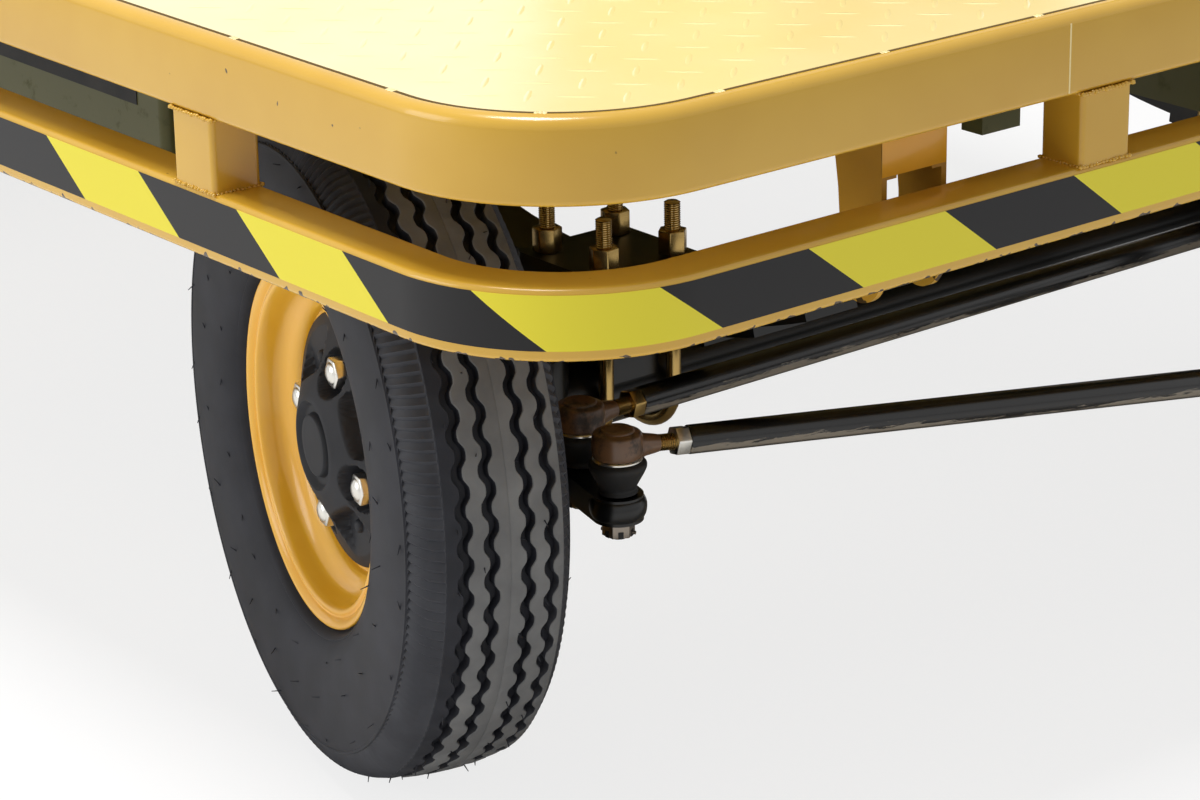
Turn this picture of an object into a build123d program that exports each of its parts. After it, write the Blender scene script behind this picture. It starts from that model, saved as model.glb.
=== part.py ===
"""Electric platform cart with a leaf-sprung, steered front axle and a driven rear axle.

Millimetres. +X points forward, +Y to the left and +Z up. The origin lies on the ground under the
middle of the platform. The cart is parked with its steering turned to the right.
"""

import os
from math import asin, cos, degrees, hypot, radians, sin

from build123d import *

# Platform
DECK_LENGTH = 2500
DECK_WIDTH = 1500
DECK_HEIGHT = 609
CORNER_RADIUS = 140
RAIL_DEPTH = 40
TOP_RAIL_HEIGHT = 60
TOP_EDGE_RADIUS = 9
PLATE_THICKNESS = 4
PLATE_LIP = 10
PLATE_GAP = 2
END_SEAM_INSET = 478
SIDE_SEAM_INSET = 180
SEAM_BEHIND_SEAT = 20

# Bumper rail under the platform and the posts that carry it
BUMPER_HEIGHT = 50
BUMPER_EDGE_RADIUS = 4
POST_HEIGHT = 54
POST_WIDTH = 50
POST_EDGE_RADIUS = 4
END_POST_SPACING = 466

# Underframe
BEAM_WIDTH = 50
CROSS_WIDTH = 40
COLUMN_BAY = 50

# Axles and steering geometry
AXLE_INSET = 382
KINGPIN_INSET = 293
SPRING_INSET = 81
WHEEL_OFFSET = 133
PARKED_STEER = -14.7
TUBE_RADIUS = 28.5
TIE_BALL_REACH = 93
DRAG_BALL_REACH = 160
COLUMN_AHEAD = 154

# Wheels
TYRE_CLEARANCE = 32
TYRE_HALF_WIDTH = 66
SHOULDER_DROP = 15.5
SHOULDER_HALF_WIDTH = 58
TREAD_EDGE_DROP = 6.5
TREAD_HALF_WIDTH = 50
RIM_SEAT_RADIUS = 127
RIM_HALF_WIDTH = 44.5
RIM_FLANGE_RADIUS = 140.5
RIM_WALL = 4
RIM_BEND_RADIUS = 8
RIM_WELL_RADIUS = 106
RIM_WELL_HALF_WIDTH = 14
RIM_SEAT_END = 22
SEAT_TAPER = 1.5
DISC_FACE = 14
DISC_THICKNESS = 6
DISC_BORE_RADIUS = 30
COVER_RADIUS = 98
COVER_SKIRT = 4
COVER_SHOULDER_RADIUS = 92
COVER_SHOULDER = 6
COVER_CROWN_RADIUS = 36
COVER_DEPTH = 32
COVER_GROOVE_RADIUS = 30
COVER_GROOVE_DEPTH = 5
COVER_DISC_RADIUS = 24
NUT_CIRCLE_RADIUS = 63
NUT_COUNT = 4
NUT_CLOCK = -15
NUT_POCKET_RADIUS = 18
NUT_POCKET_DEPTH = 28
RECESS_LENGTH = 52
RECESS_WIDTH = 26
RECESS_CORNER = 8
RECESS_CIRCLE = 66
RECESS_DEPTH = 24
DRUM_RADIUS = 90
DRUM_DEPTH = 49
SPINDLE_RADIUS = 18
SPINDLE_INSET = 6
BACKPLATE_RADIUS = 95
BACKPLATE_THICKNESS = 6
BRAKE_GAP = 5

# Kingpins and knuckles
BOSS_RADIUS = 30
BOSS_HEIGHT = 90
KINGPIN_RADIUS = 12
EAR_RADIUS = 28
EAR_THICKNESS = 20
YOKE_INNER = 38
YOKE_OUTER = 56
SPINDLE_FLANGE_RADIUS = 35
ARM_DROP = 33.5
ARM_THICKNESS = 20
ARM_EYE_RADIUS = 19
ARM_ROOT_INSET = 15

# Ball joints and rods
HOUSING_RADIUS = 19.5
HOUSING_HEIGHT = 31
HOUSING_EDGE_RADIUS = 6
BALL_RADIUS = 13
BOOT_HEIGHT = 20
BOOT_TOP_RADIUS = 17
BOOT_WAIST_RADIUS = 12
STUD_RADIUS = 8
CASTLE_NUT_RADIUS = 12
CASTLE_NUT_HEIGHT = 11
SHANK_RADIUS = 8
SHANK_LENGTH = 62
LOCK_NUT_RADIUS = 14
LOCK_NUT_LENGTH = 14
LOCK_NUT_START = 42
ROD_RADIUS = 11

# Leaf springs
LEAF_THICKNESS = 8
LEAF_WIDTH = 50
LEAF_HALF_LENGTHS = (320, 252, 196, 140, 84)
LEAF_CAMBER_RADIUS = 720
SPRING_PAD_HEIGHT = 24
SPRING_PAD_SIZE = 52
EYE_RADIUS = 17
EYE_BORE = 10
CLAMP_SIZE = 104
CLAMP_THICKNESS = 10
CLAMP_SPACER = 6
CLAMP_SPACER_LENGTH = 40
U_BOLT_RADIUS = 6
U_BOLT_SIDE = 34
U_BOLT_PROUD = 52
HANGER_PLATE = 5
HANGER_REAR = 35
HANGER_FRONT = 22
HANGER_EYE_RADIUS = 22
HANGER_WEB_DROP = 44
HANGER_ARCH_RADIUS = 17
SHACKLE_SHARE = 0.69
SHACKLE_WIDTH = 32
SHACKLE_BOSS_RADIUS = 18
PIN_PROUD = 6

# Rear drive
GEAR_CASE_RADIUS = 88
GEAR_CASE_WIDTH = 70
MOTOR_AHEAD = 130
MOTOR_RADIUS = 78
MOTOR_CLEARANCE = 70
MOTOR_CAP_RADIUS = 70
MOTOR_CAP_LENGTH = 16

# Battery box
BOX_SIDE_GAP = 180
BOX_BEHIND_AXLE = 387
BOX_AHEAD_AXLE = 668
BOX_HEIGHT = 219
BOX_LIP_HEIGHT = 26
BOX_LIP_PROUD = 8
BOX_EDGE_RADIUS = 10

# Brake pedal
PEDAL_BESIDE_COLUMN = 100
PEDAL_BEHIND_COLUMN = 22
PEDAL_PIVOT_DROP = 69
PEDAL_REACH = 220
PEDAL_LEAN = 80
PEDAL_ARM_WIDTH = 24
PEDAL_ARM_THICKNESS = 10
PEDAL_PIN_RADIUS = 7
PAD_LENGTH = 80
PAD_WIDTH = 84
PAD_THICKNESS = 10
PAD_LEAN = 40
PEDAL_SLOT_LENGTH = 70
PEDAL_SLOT_WIDTH = 24

# Steering column, its bracket and the handlebar, left of the middle
DRIVER_Y = 190
DRAG_DROP = 49
SMALL_BRACKET_Y = -178
SMALL_BRACKET_WIDTH = 40
SMALL_BRACKET_DEPTH = 22
SMALL_BRACKET_DROP = 75
SHAFT_RADIUS = 15
COLUMN_RADIUS = 24
COLUMN_HEIGHT = 721
COLUMN_FOOT_RADIUS = 40
COLUMN_FOOT_HEIGHT = 12
BRACKET_WIDTH = 78
BRACKET_PLATE = 5
BRACKET_DROP = 105
BEARING_RADIUS = 27
BEARING_LENGTH = 50
LEVER_HUB_RADIUS = 26
BAR_RADIUS = 12.5
BAR_REACH = 350
BAR_SHOULDER = 90
BAR_PULLBACK = 190
BAR_RISE = 60
BAR_BEND_RADIUS = 60
BAR_CLAMP_WIDTH = 70
BAR_CLAMP_SIZE = 46
GRIP_RADIUS = 17
GRIP_LENGTH = 125
HEAD_LENGTH = 110
HEAD_WIDTH = 170
HEAD_HEIGHT = 62
HEAD_EDGE_RADIUS = 14

# Driver's seat
SEAT_BEHIND_COLUMN = 542
SEAT_BASE_LENGTH = 340
SEAT_BASE_WIDTH = 400
SEAT_BASE_HEIGHT = 330
SEAT_BASE_RADIUS = 20
SEAT_LENGTH = 400
SEAT_WIDTH = 440
SEAT_THICKNESS = 85
SEAT_EDGE_RADIUS = 25
BACK_HEIGHT = 300
BACK_THICKNESS = 70
BACK_GAP = 60
STRAP_WIDTH = 45
STRAP_THICKNESS = 8
STRAP_SPACING = 240

# Fits
RUNNING_FIT = 0.05
SEAT_GAP = 0.3
PIN_FIT = 0.3
EYE_SIDE_GAP = 1

# Levels and places that follow from the sizes above
RIGHT = -1
LEFT = 1
RAIL_BASE = DECK_HEIGHT - TOP_RAIL_HEIGHT
PLATE_BASE = DECK_HEIGHT - PLATE_THICKNESS
BUMPER_TOP = RAIL_BASE - POST_HEIGHT
BUMPER_BASE = BUMPER_TOP - BUMPER_HEIGHT
AXLE_X = DECK_LENGTH / 2 - AXLE_INSET
AXLES = (AXLE_X, -AXLE_X)
KINGPIN_Y = DECK_WIDTH / 2 - KINGPIN_INSET
COLUMN_X = AXLE_X + COLUMN_AHEAD
SEAT_X = COLUMN_X - SEAT_BEHIND_COLUMN
END_SEAM = DECK_WIDTH / 2 - END_SEAM_INSET
SIDE_SEAM = DECK_LENGTH / 2 - SIDE_SEAM_INSET
SIDE_POST_X = (AXLE_X, AXLE_X / 3, -AXLE_X / 3, -AXLE_X)
PLATE_INSET = PLATE_LIP + PLATE_GAP
BEAM_HEIGHT = PLATE_BASE - RAIL_BASE
BEAM_Y = KINGPIN_Y - SPRING_INSET
BEAM_INNER = BEAM_Y - BEAM_WIDTH / 2
BEAM_OUTER = BEAM_Y + BEAM_WIDTH / 2
RAIL_INNER_X = DECK_LENGTH / 2 - RAIL_DEPTH
RAIL_INNER_Y = DECK_WIDTH / 2 - RAIL_DEPTH
TYRE_RADIUS = (RAIL_BASE - TYRE_CLEARANCE) / 2
TYRE_BULGE_RADIUS = (TYRE_RADIUS + RIM_FLANGE_RADIUS) / 2
SHOULDER_RADIUS = TYRE_RADIUS - SHOULDER_DROP
TREAD_EDGE_RADIUS = TYRE_RADIUS - TREAD_EDGE_DROP
AXLE_Z = TYRE_RADIUS
WHEEL_Y = KINGPIN_Y + WHEEL_OFFSET
EAR_TOP = AXLE_Z + BOSS_HEIGHT / 2 + SEAT_GAP + EAR_THICKNESS
EAR_BASE = AXLE_Z - BOSS_HEIGHT / 2 - SEAT_GAP - EAR_THICKNESS
RIM_LIP_RADIUS = RIM_FLANGE_RADIUS - RIM_WALL / 2
DISC_RADIUS = RIM_WELL_RADIUS - RIM_WALL / 2
DRUM_FACE = DISC_FACE - DISC_THICKNESS
DRUM_BACK = DRUM_FACE - DRUM_DEPTH
BACKPLATE_FACE = DRUM_BACK - BRAKE_GAP
BACKPLATE_BACK = BACKPLATE_FACE - BACKPLATE_THICKNESS
SPINDLE_END = DRUM_FACE - SPINDLE_INSET
COVER_TOP = DISC_FACE + COVER_DEPTH
ARM_BASE = AXLE_Z - ARM_DROP
ARM_TOP = ARM_BASE + ARM_THICKNESS
HOUSING_BASE = ARM_TOP + SEAT_GAP + BOOT_HEIGHT
ROD_Z = HOUSING_BASE + HOUSING_HEIGHT / 2
LEVER_BASE = ARM_BASE - DRAG_DROP
SPRING_BASE = AXLE_Z + TUBE_RADIUS + SPRING_PAD_HEIGHT + SEAT_GAP
SPRING_TOP = SPRING_BASE + LEAF_THICKNESS * len(LEAF_HALF_LENGTHS)
LEAF_CENTRE_Z = SPRING_TOP - LEAF_THICKNESS / 2 + LEAF_CAMBER_RADIUS
LEAF_END_ANGLE = asin(LEAF_HALF_LENGTHS[0] / LEAF_CAMBER_RADIUS)
EYE_ARC = LEAF_CAMBER_RADIUS - EYE_RADIUS + LEAF_THICKNESS / 2
EYE_X = EYE_ARC * sin(LEAF_END_ANGLE)
EYE_Z = LEAF_CENTRE_Z - EYE_ARC * cos(LEAF_END_ANGLE)
CLAMP_BASE = SPRING_TOP + SEAT_GAP
CLAMP_TOP = CLAMP_BASE + CLAMP_SPACER + CLAMP_THICKNESS
U_BOLT_REACH = TUBE_RADIUS + U_BOLT_RADIUS + SEAT_GAP
CHEEK_INNER = LEAF_WIDTH / 2 + EYE_SIDE_GAP
CHEEK_OUTER = CHEEK_INNER + HANGER_PLATE
PIN_RADIUS = EYE_BORE - PIN_FIT
SHACKLE_PIN_Z = EYE_Z + SHACKLE_SHARE * (RAIL_BASE - EYE_Z)
BRACKET_REAR = COLUMN_X - COLUMN_BAY - CROSS_WIDTH / 2
BRACKET_FRONT = COLUMN_X + COLUMN_BAY + CROSS_WIDTH / 2
BEARING_BASE = RAIL_BASE - BRACKET_DROP - BEARING_LENGTH / 2
PEDAL_X = COLUMN_X - PEDAL_BEHIND_COLUMN
PEDAL_Y = DRIVER_Y - PEDAL_BESIDE_COLUMN
PEDAL_Z = RAIL_BASE - PEDAL_PIVOT_DROP
MOTOR_X = MOTOR_AHEAD - AXLE_X
MOTOR_START = GEAR_CASE_WIDTH / 2
MOTOR_LENGTH = BEAM_Y - LEAF_WIDTH / 2 - MOTOR_CLEARANCE - MOTOR_CAP_LENGTH - MOTOR_START
BOX_BASE = RAIL_BASE - BOX_HEIGHT
BOX_HALF_WIDTH = RAIL_INNER_Y - BOX_SIDE_GAP
BOX_FRONT = AXLE_X - BOX_BEHIND_AXLE
BOX_REAR = BOX_AHEAD_AXLE - AXLE_X
BOX_LENGTH = BOX_FRONT - BOX_REAR
BOX_X = (BOX_FRONT + BOX_REAR) / 2
COLUMN_TOP = DECK_HEIGHT + COLUMN_HEIGHT
CLAMP_Z = COLUMN_TOP + BAR_CLAMP_SIZE / 2
SEAT_BASE_TOP = DECK_HEIGHT + SEAT_BASE_HEIGHT
CUSHION_BASE = SEAT_BASE_TOP + STRAP_THICKNESS + SEAT_GAP
BACK_BASE = CUSHION_BASE + SEAT_THICKNESS + BACK_GAP
BACK_FACE = SEAT_X - SEAT_LENGTH / 2
BACK_REAR = BACK_FACE - BACK_THICKNESS
PLATE_SEAM = BACK_REAR - SEAM_BEHIND_SEAT
CROSS_X = (
    COLUMN_X + COLUMN_BAY,
    COLUMN_X - COLUMN_BAY,
    AXLE_X - EYE_X,
    0,
    EYE_X - AXLE_X,
    -COLUMN_X,
)
STEERED_FORWARD = Vector(cos(radians(PARKED_STEER)), sin(radians(PARKED_STEER)), 0)
ON_BASE = (Align.CENTER, Align.CENTER, Align.MIN)
TOUCH = 0.01

os.makedirs("parts", exist_ok=True)


def write_piece(builder, label):
    """Name a finished piece and write it as a file of its own."""
    builder.part.label = label
    export_step(builder.part, f"parts/{label}.step")


def steered_frame(x, y, z):
    """Plane that turns with the parked steering: its x runs along the steered wheels."""
    return Plane(origin=(x, y, z), x_dir=STEERED_FORWARD, z_dir=(0, 0, 1))


def along(start, direction):
    """Plane at a point whose normal runs along a direction that is not upright, with its x upwards."""
    return Plane(origin=start, x_dir=(0, 0, 1), z_dir=direction)


def ground_spot(frame, x, y):
    """Point of a level frame given by its own x and y."""
    return frame.origin + frame.x_dir * x + frame.y_dir * y


def on_outline(edge):
    """Whether an edge's middle lies on the platform's outer outline."""
    middle = edge @ 0.5
    beyond_x = abs(middle.X) - (DECK_LENGTH / 2 - CORNER_RADIUS)
    beyond_y = abs(middle.Y) - (DECK_WIDTH / 2 - CORNER_RADIUS)
    reach = hypot(max(beyond_x, 0), max(beyond_y, 0))
    return abs(reach - CORNER_RADIUS) < TOUCH


def rail_ring(base, bent):
    """Plan of a closed rail: either its four bent corners or the straights between them."""
    with BuildSketch(Plane.XY.offset(base)) as plan:
        RectangleRounded(DECK_LENGTH, DECK_WIDTH, CORNER_RADIUS)
        RectangleRounded(
            2 * RAIL_INNER_X, 2 * RAIL_INNER_Y, CORNER_RADIUS - RAIL_DEPTH, mode=Mode.SUBTRACT
        )
        if bent:
            Rectangle(DECK_LENGTH, 2 * END_SEAM, mode=Mode.SUBTRACT)
            Rectangle(2 * SIDE_SEAM, DECK_WIDTH, mode=Mode.SUBTRACT)
        else:
            with GridLocations(DECK_LENGTH / 2 + SIDE_SEAM, DECK_WIDTH / 2 + END_SEAM, 2, 2):
                Rectangle(DECK_LENGTH / 2 - SIDE_SEAM, DECK_WIDTH / 2 - END_SEAM, mode=Mode.SUBTRACT)
    return plan.sketch


# Rails of the platform and of the bumper
for bent, rail_name, bumper_name in (
    (False, "top_rails", "bumper_rails"),
    (True, "top_corners", "bumper_corners"),
):
    with BuildPart() as top_rail:
        extrude(rail_ring(RAIL_BASE, bent), amount=TOP_RAIL_HEIGHT)
        fillet(top_rail.edges().group_by(Axis.Z)[-1].filter_by(on_outline), TOP_EDGE_RADIUS)
        with BuildSketch(Plane.XY.offset(PLATE_BASE)):
            RectangleRounded(
                DECK_LENGTH - 2 * PLATE_LIP, DECK_WIDTH - 2 * PLATE_LIP, CORNER_RADIUS - PLATE_LIP
            )
        extrude(amount=PLATE_THICKNESS, mode=Mode.SUBTRACT)
    write_piece(top_rail, rail_name)

    with BuildPart() as bumper_rail:
        extrude(rail_ring(BUMPER_BASE, bent), amount=BUMPER_HEIGHT)
        bumper_edges = bumper_rail.edges().filter_by(on_outline)
        fillet(bumper_edges.group_by(Axis.Z)[0] + bumper_edges.group_by(Axis.Z)[-1], BUMPER_EDGE_RADIUS)
    write_piece(bumper_rail, bumper_name)

# Posts between the two rails, flush with their outer faces
with BuildPart() as bumper_posts:
    with BuildSketch(Plane.XY.offset(BUMPER_TOP)):
        with GridLocations(DECK_LENGTH - RAIL_DEPTH, END_POST_SPACING, 2, 2):
            Rectangle(RAIL_DEPTH, POST_WIDTH)
        for post_x in SIDE_POST_X:
            with Locations((post_x, 0)):
                with GridLocations(0, DECK_WIDTH - RAIL_DEPTH, 1, 2):
                    Rectangle(POST_WIDTH, RAIL_DEPTH)
    extrude(amount=POST_HEIGHT)
    fillet(bumper_posts.edges().filter_by(Axis.Z), POST_EDGE_RADIUS)
write_piece(bumper_posts, "bumper_posts")

# Deck plates, seated in the rebate of the top rail
for plate_name, low_x, high_x in (
    ("floor_plate", PLATE_SEAM + PLATE_GAP / 2, DECK_LENGTH / 2),
    ("load_plate", -DECK_LENGTH / 2, PLATE_SEAM - PLATE_GAP / 2),
):
    with BuildPart() as deck_plate:
        with BuildSketch(Plane.XY.offset(PLATE_BASE)):
            RectangleRounded(
                DECK_LENGTH - 2 * PLATE_INSET, DECK_WIDTH - 2 * PLATE_INSET, CORNER_RADIUS - PLATE_INSET
            )
            with Locations(((low_x + high_x) / 2, 0)):
                Rectangle(high_x - low_x, DECK_WIDTH, mode=Mode.INTERSECT)
            with Locations((COLUMN_X, DRIVER_Y)):
                Circle(SHAFT_RADIUS + PLATE_GAP, mode=Mode.SUBTRACT)
            with Locations((COLUMN_X, PEDAL_Y)):
                SlotOverall(PEDAL_SLOT_LENGTH, PEDAL_SLOT_WIDTH, mode=Mode.SUBTRACT)
        extrude(amount=PLATE_THICKNESS)
    write_piece(deck_plate, plate_name)

# Underframe: two long beams with cross members between them and out to the rails
with BuildPart() as main_beams:
    with BuildSketch(Plane.XY.offset(RAIL_BASE)):
        with GridLocations(0, 2 * BEAM_Y, 1, 2):
            Rectangle(2 * RAIL_INNER_X, BEAM_WIDTH)
    extrude(amount=BEAM_HEIGHT)
write_piece(main_beams, "main_beams")

with BuildPart() as cross_members:
    with BuildSketch(Plane.XY.offset(RAIL_BASE)):
        for cross_x in CROSS_X:
            with Locations((cross_x, 0)):
                Rectangle(CROSS_WIDTH, 2 * BEAM_INNER)
                with GridLocations(0, BEAM_OUTER + RAIL_INNER_Y, 1, 2):
                    Rectangle(CROSS_WIDTH, RAIL_INNER_Y - BEAM_OUTER)
    extrude(amount=BEAM_HEIGHT)
write_piece(cross_members, "cross_members")

# Leaf springs: concentric leaves on a common centre, with rolled eyes on the main leaf
with BuildPart() as leaf_springs:
    for axle_x in AXLES:
        for beam_side in (RIGHT, LEFT):
            with BuildSketch(Plane.XZ.offset(-beam_side * BEAM_Y)):
                for leaf, half_length in enumerate(LEAF_HALF_LENGTHS):
                    leaf_radius = LEAF_CAMBER_RADIUS + leaf * LEAF_THICKNESS
                    half_angle = degrees(asin(half_length / leaf_radius))
                    bow = (axle_x, LEAF_CENTRE_Z)
                    leaf_start = -90 - half_angle
                    with BuildLine():
                        outer = CenterArc(bow, leaf_radius + LEAF_THICKNESS / 2, leaf_start, 2 * half_angle)
                        inner = CenterArc(bow, leaf_radius - LEAF_THICKNESS / 2, leaf_start, 2 * half_angle)
                        Line(outer @ 0, inner @ 0)
                        Line(outer @ 1, inner @ 1)
                    make_face()
                with Locations((axle_x - EYE_X, EYE_Z), (axle_x + EYE_X, EYE_Z)):
                    Circle(EYE_RADIUS)
                    Circle(EYE_BORE, mode=Mode.SUBTRACT)
            extrude(amount=LEAF_WIDTH / 2, both=True)
write_piece(leaf_springs, "leaf_springs")

# Fixed hangers at the front eyes and shackle brackets at the rear eyes
with BuildPart() as spring_hangers:
    for axle_x in AXLES:
        eye_x = axle_x + EYE_X
        for beam_side in (RIGHT, LEFT):
            middle = Plane.XZ.offset(-beam_side * BEAM_Y)
            with BuildSketch(middle):
                with BuildLine():
                    top = Line((eye_x - HANGER_REAR, RAIL_BASE), (eye_x + HANGER_FRONT, RAIL_BASE))
                    front = Line(top @ 1, (eye_x + HANGER_EYE_RADIUS, EYE_Z))
                    nose = ThreePointArc(
                        front @ 1, (eye_x, EYE_Z - HANGER_EYE_RADIUS), (eye_x - HANGER_EYE_RADIUS, EYE_Z)
                    )
                    ThreePointArc(
                        nose @ 1, (eye_x - HANGER_EYE_RADIUS, (EYE_Z + RAIL_BASE) / 2), top @ 0
                    )
                make_face()
            extrude(amount=CHEEK_OUTER, both=True)
            web_edge = eye_x + HANGER_FRONT - HANGER_PLATE
            web_base = RAIL_BASE - HANGER_WEB_DROP
            with BuildSketch(middle):
                with BuildLine():
                    Polyline(
                        (eye_x - 2 * HANGER_REAR, RAIL_BASE - HANGER_PLATE),
                        (web_edge, RAIL_BASE - HANGER_PLATE),
                        (web_edge, web_base),
                        (eye_x + 2 * HANGER_REAR, web_base),
                        (eye_x + 2 * HANGER_REAR, EYE_Z - 2 * HANGER_REAR),
                        (eye_x - 2 * HANGER_REAR, EYE_Z - 2 * HANGER_REAR),
                        close=True,
                    )
                make_face()
            extrude(amount=CHEEK_INNER, both=True, mode=Mode.SUBTRACT)
            with BuildSketch(Plane.YZ.offset(web_edge)):
                with Locations((beam_side * BEAM_Y, web_base)):
                    Circle(HANGER_ARCH_RADIUS)
            extrude(amount=HANGER_PLATE, mode=Mode.SUBTRACT)
            with BuildSketch(middle):
                with Locations((eye_x, EYE_Z)):
                    Circle(PIN_RADIUS)
            extrude(amount=CHEEK_OUTER + PIN_PROUD, both=True)

            shackle_x = axle_x - EYE_X
            with BuildSketch(middle):
                with Locations((shackle_x, (SHACKLE_PIN_Z + RAIL_BASE) / 2)):
                    Rectangle(2 * SHACKLE_BOSS_RADIUS, RAIL_BASE - SHACKLE_PIN_Z)
                with Locations((shackle_x, SHACKLE_PIN_Z)):
                    Circle(SHACKLE_BOSS_RADIUS)
                    Circle(EYE_BORE, mode=Mode.SUBTRACT)
            extrude(amount=LEAF_WIDTH / 2, both=True)
write_piece(spring_hangers, "spring_hangers")

with BuildPart() as shackles:
    for axle_x in AXLES:
        shackle_x = axle_x - EYE_X
        for beam_side in (RIGHT, LEFT):
            middle = Plane.XZ.offset(-beam_side * BEAM_Y)
            with BuildSketch(middle):
                with Locations((shackle_x, EYE_Z), (shackle_x, SHACKLE_PIN_Z)):
                    Circle(PIN_RADIUS)
            extrude(amount=CHEEK_OUTER + PIN_PROUD, both=True)
            for cheek in (RIGHT, LEFT):
                with BuildSketch(middle.offset(cheek * (CHEEK_INNER + HANGER_PLATE / 2))):
                    with Locations((shackle_x, (EYE_Z + SHACKLE_PIN_Z) / 2)):
                        SlotCenterToCenter(SHACKLE_PIN_Z - EYE_Z, SHACKLE_WIDTH, rotation=90)
                extrude(amount=HANGER_PLATE / 2, both=True)
write_piece(shackles, "shackles")

# Clamp plates over the springs and the U-bolts that hold them down on the axle tubes
with BuildPart() as spring_clamps:
    for axle_x in AXLES:
        for beam_side in (RIGHT, LEFT):
            with Locations((axle_x, beam_side * BEAM_Y, CLAMP_BASE)):
                Box(CLAMP_SPACER_LENGTH, LEAF_WIDTH, CLAMP_SPACER, align=ON_BASE)
            with BuildSketch(Plane.XY.offset(CLAMP_BASE + CLAMP_SPACER)):
                with Locations((axle_x, beam_side * BEAM_Y)):
                    RectangleRounded(CLAMP_SIZE, CLAMP_SIZE, U_BOLT_RADIUS)
                    with GridLocations(2 * U_BOLT_REACH, 2 * U_BOLT_SIDE, 2, 2):
                        Circle(U_BOLT_RADIUS + PIN_FIT, mode=Mode.SUBTRACT)
            extrude(amount=CLAMP_THICKNESS)
write_piece(spring_clamps, "spring_clamps")

with BuildPart() as u_bolts:
    for axle_x in AXLES:
        for beam_side in (RIGHT, LEFT):
            for leaf_side in (RIGHT, LEFT):
                bolt_plane = Plane.XZ.offset(-beam_side * BEAM_Y - leaf_side * U_BOLT_SIDE)
                with BuildLine(bolt_plane) as bend:
                    bolt_top = CLAMP_TOP + U_BOLT_PROUD
                    leg = Line((axle_x - U_BOLT_REACH, bolt_top), (axle_x - U_BOLT_REACH, AXLE_Z))
                    saddle = ThreePointArc(
                        leg @ 1, (axle_x, AXLE_Z - U_BOLT_REACH), (axle_x + U_BOLT_REACH, AXLE_Z)
                    )
                    Line(saddle @ 1, (axle_x + U_BOLT_REACH, bolt_top))
                bolt_wire = bend.wire()
                with BuildSketch(Plane(origin=bolt_wire @ 0, z_dir=bolt_wire % 0)) as bolt_section:
                    Circle(U_BOLT_RADIUS)
                sweep(bolt_section.sketch, path=bolt_wire)
write_piece(u_bolts, "u_bolts")


def spring_pads(axle_x):
    """Flat pads on an axle tube, where the springs sit."""
    with Locations((axle_x, -BEAM_Y, AXLE_Z), (axle_x, BEAM_Y, AXLE_Z)):
        Box(SPRING_PAD_SIZE, SPRING_PAD_SIZE, TUBE_RADIUS + SPRING_PAD_HEIGHT, align=ON_BASE)


# Front axle: a tube with a kingpin boss at each end
with BuildPart() as front_axle:
    with BuildSketch(Plane.XZ.offset(-KINGPIN_Y)):
        with Locations((AXLE_X, AXLE_Z)):
            Circle(TUBE_RADIUS)
    extrude(amount=2 * KINGPIN_Y)
    spring_pads(AXLE_X)
    with BuildSketch(Plane.XY.offset(AXLE_Z - BOSS_HEIGHT / 2)):
        with Locations((AXLE_X, -KINGPIN_Y), (AXLE_X, KINGPIN_Y)):
            Circle(BOSS_RADIUS)
    extrude(amount=BOSS_HEIGHT)
    with Locations((AXLE_X, -KINGPIN_Y, AXLE_Z), (AXLE_X, KINGPIN_Y, AXLE_Z)):
        Cylinder(KINGPIN_RADIUS + RUNNING_FIT, BOSS_HEIGHT, mode=Mode.SUBTRACT)
write_piece(front_axle, "front_axle")

with BuildPart() as kingpins:
    with BuildSketch(Plane.XY.offset(EAR_BASE)):
        with Locations((AXLE_X, -KINGPIN_Y), (AXLE_X, KINGPIN_Y)):
            Circle(KINGPIN_RADIUS)
    extrude(amount=EAR_TOP - EAR_BASE)
write_piece(kingpins, "kingpins")


def spindle(start, outboard, wheel_centre):
    """Flange, brake backing plate and stub that carry a wheel, from a start point outwards."""
    face = wheel_centre + outboard * BACKPLATE_FACE
    back = wheel_centre + outboard * BACKPLATE_BACK
    end = wheel_centre + outboard * SPINDLE_END
    with Locations(along(start, outboard)):
        Cylinder(SPINDLE_FLANGE_RADIUS, (back - start).length, align=ON_BASE)
    with Locations(along(back, outboard)):
        Cylinder(BACKPLATE_RADIUS, BACKPLATE_THICKNESS, align=ON_BASE)
    with Locations(along(face, outboard)):
        Cylinder(SPINDLE_RADIUS, (end - face).length, align=ON_BASE)


def ball_stud(frame, reach, base):
    """Ball stud standing in an arm's eye, which starts at a base height, with its castle nut below."""
    foot = ground_spot(frame, reach, 0)
    ball_rise = ROD_Z - ARM_BASE
    with Locations((foot.X, foot.Y, base)):
        Cylinder(STUD_RADIUS, ball_rise, align=ON_BASE)
    with Locations((foot.X, foot.Y, base + ball_rise)):
        Sphere(BALL_RADIUS)
    with BuildSketch(Plane(origin=(foot.X, foot.Y, base - CASTLE_NUT_HEIGHT))) as nut:
        RegularPolygon(CASTLE_NUT_RADIUS, 6)
    extrude(nut.sketch, amount=CASTLE_NUT_HEIGHT)


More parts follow.
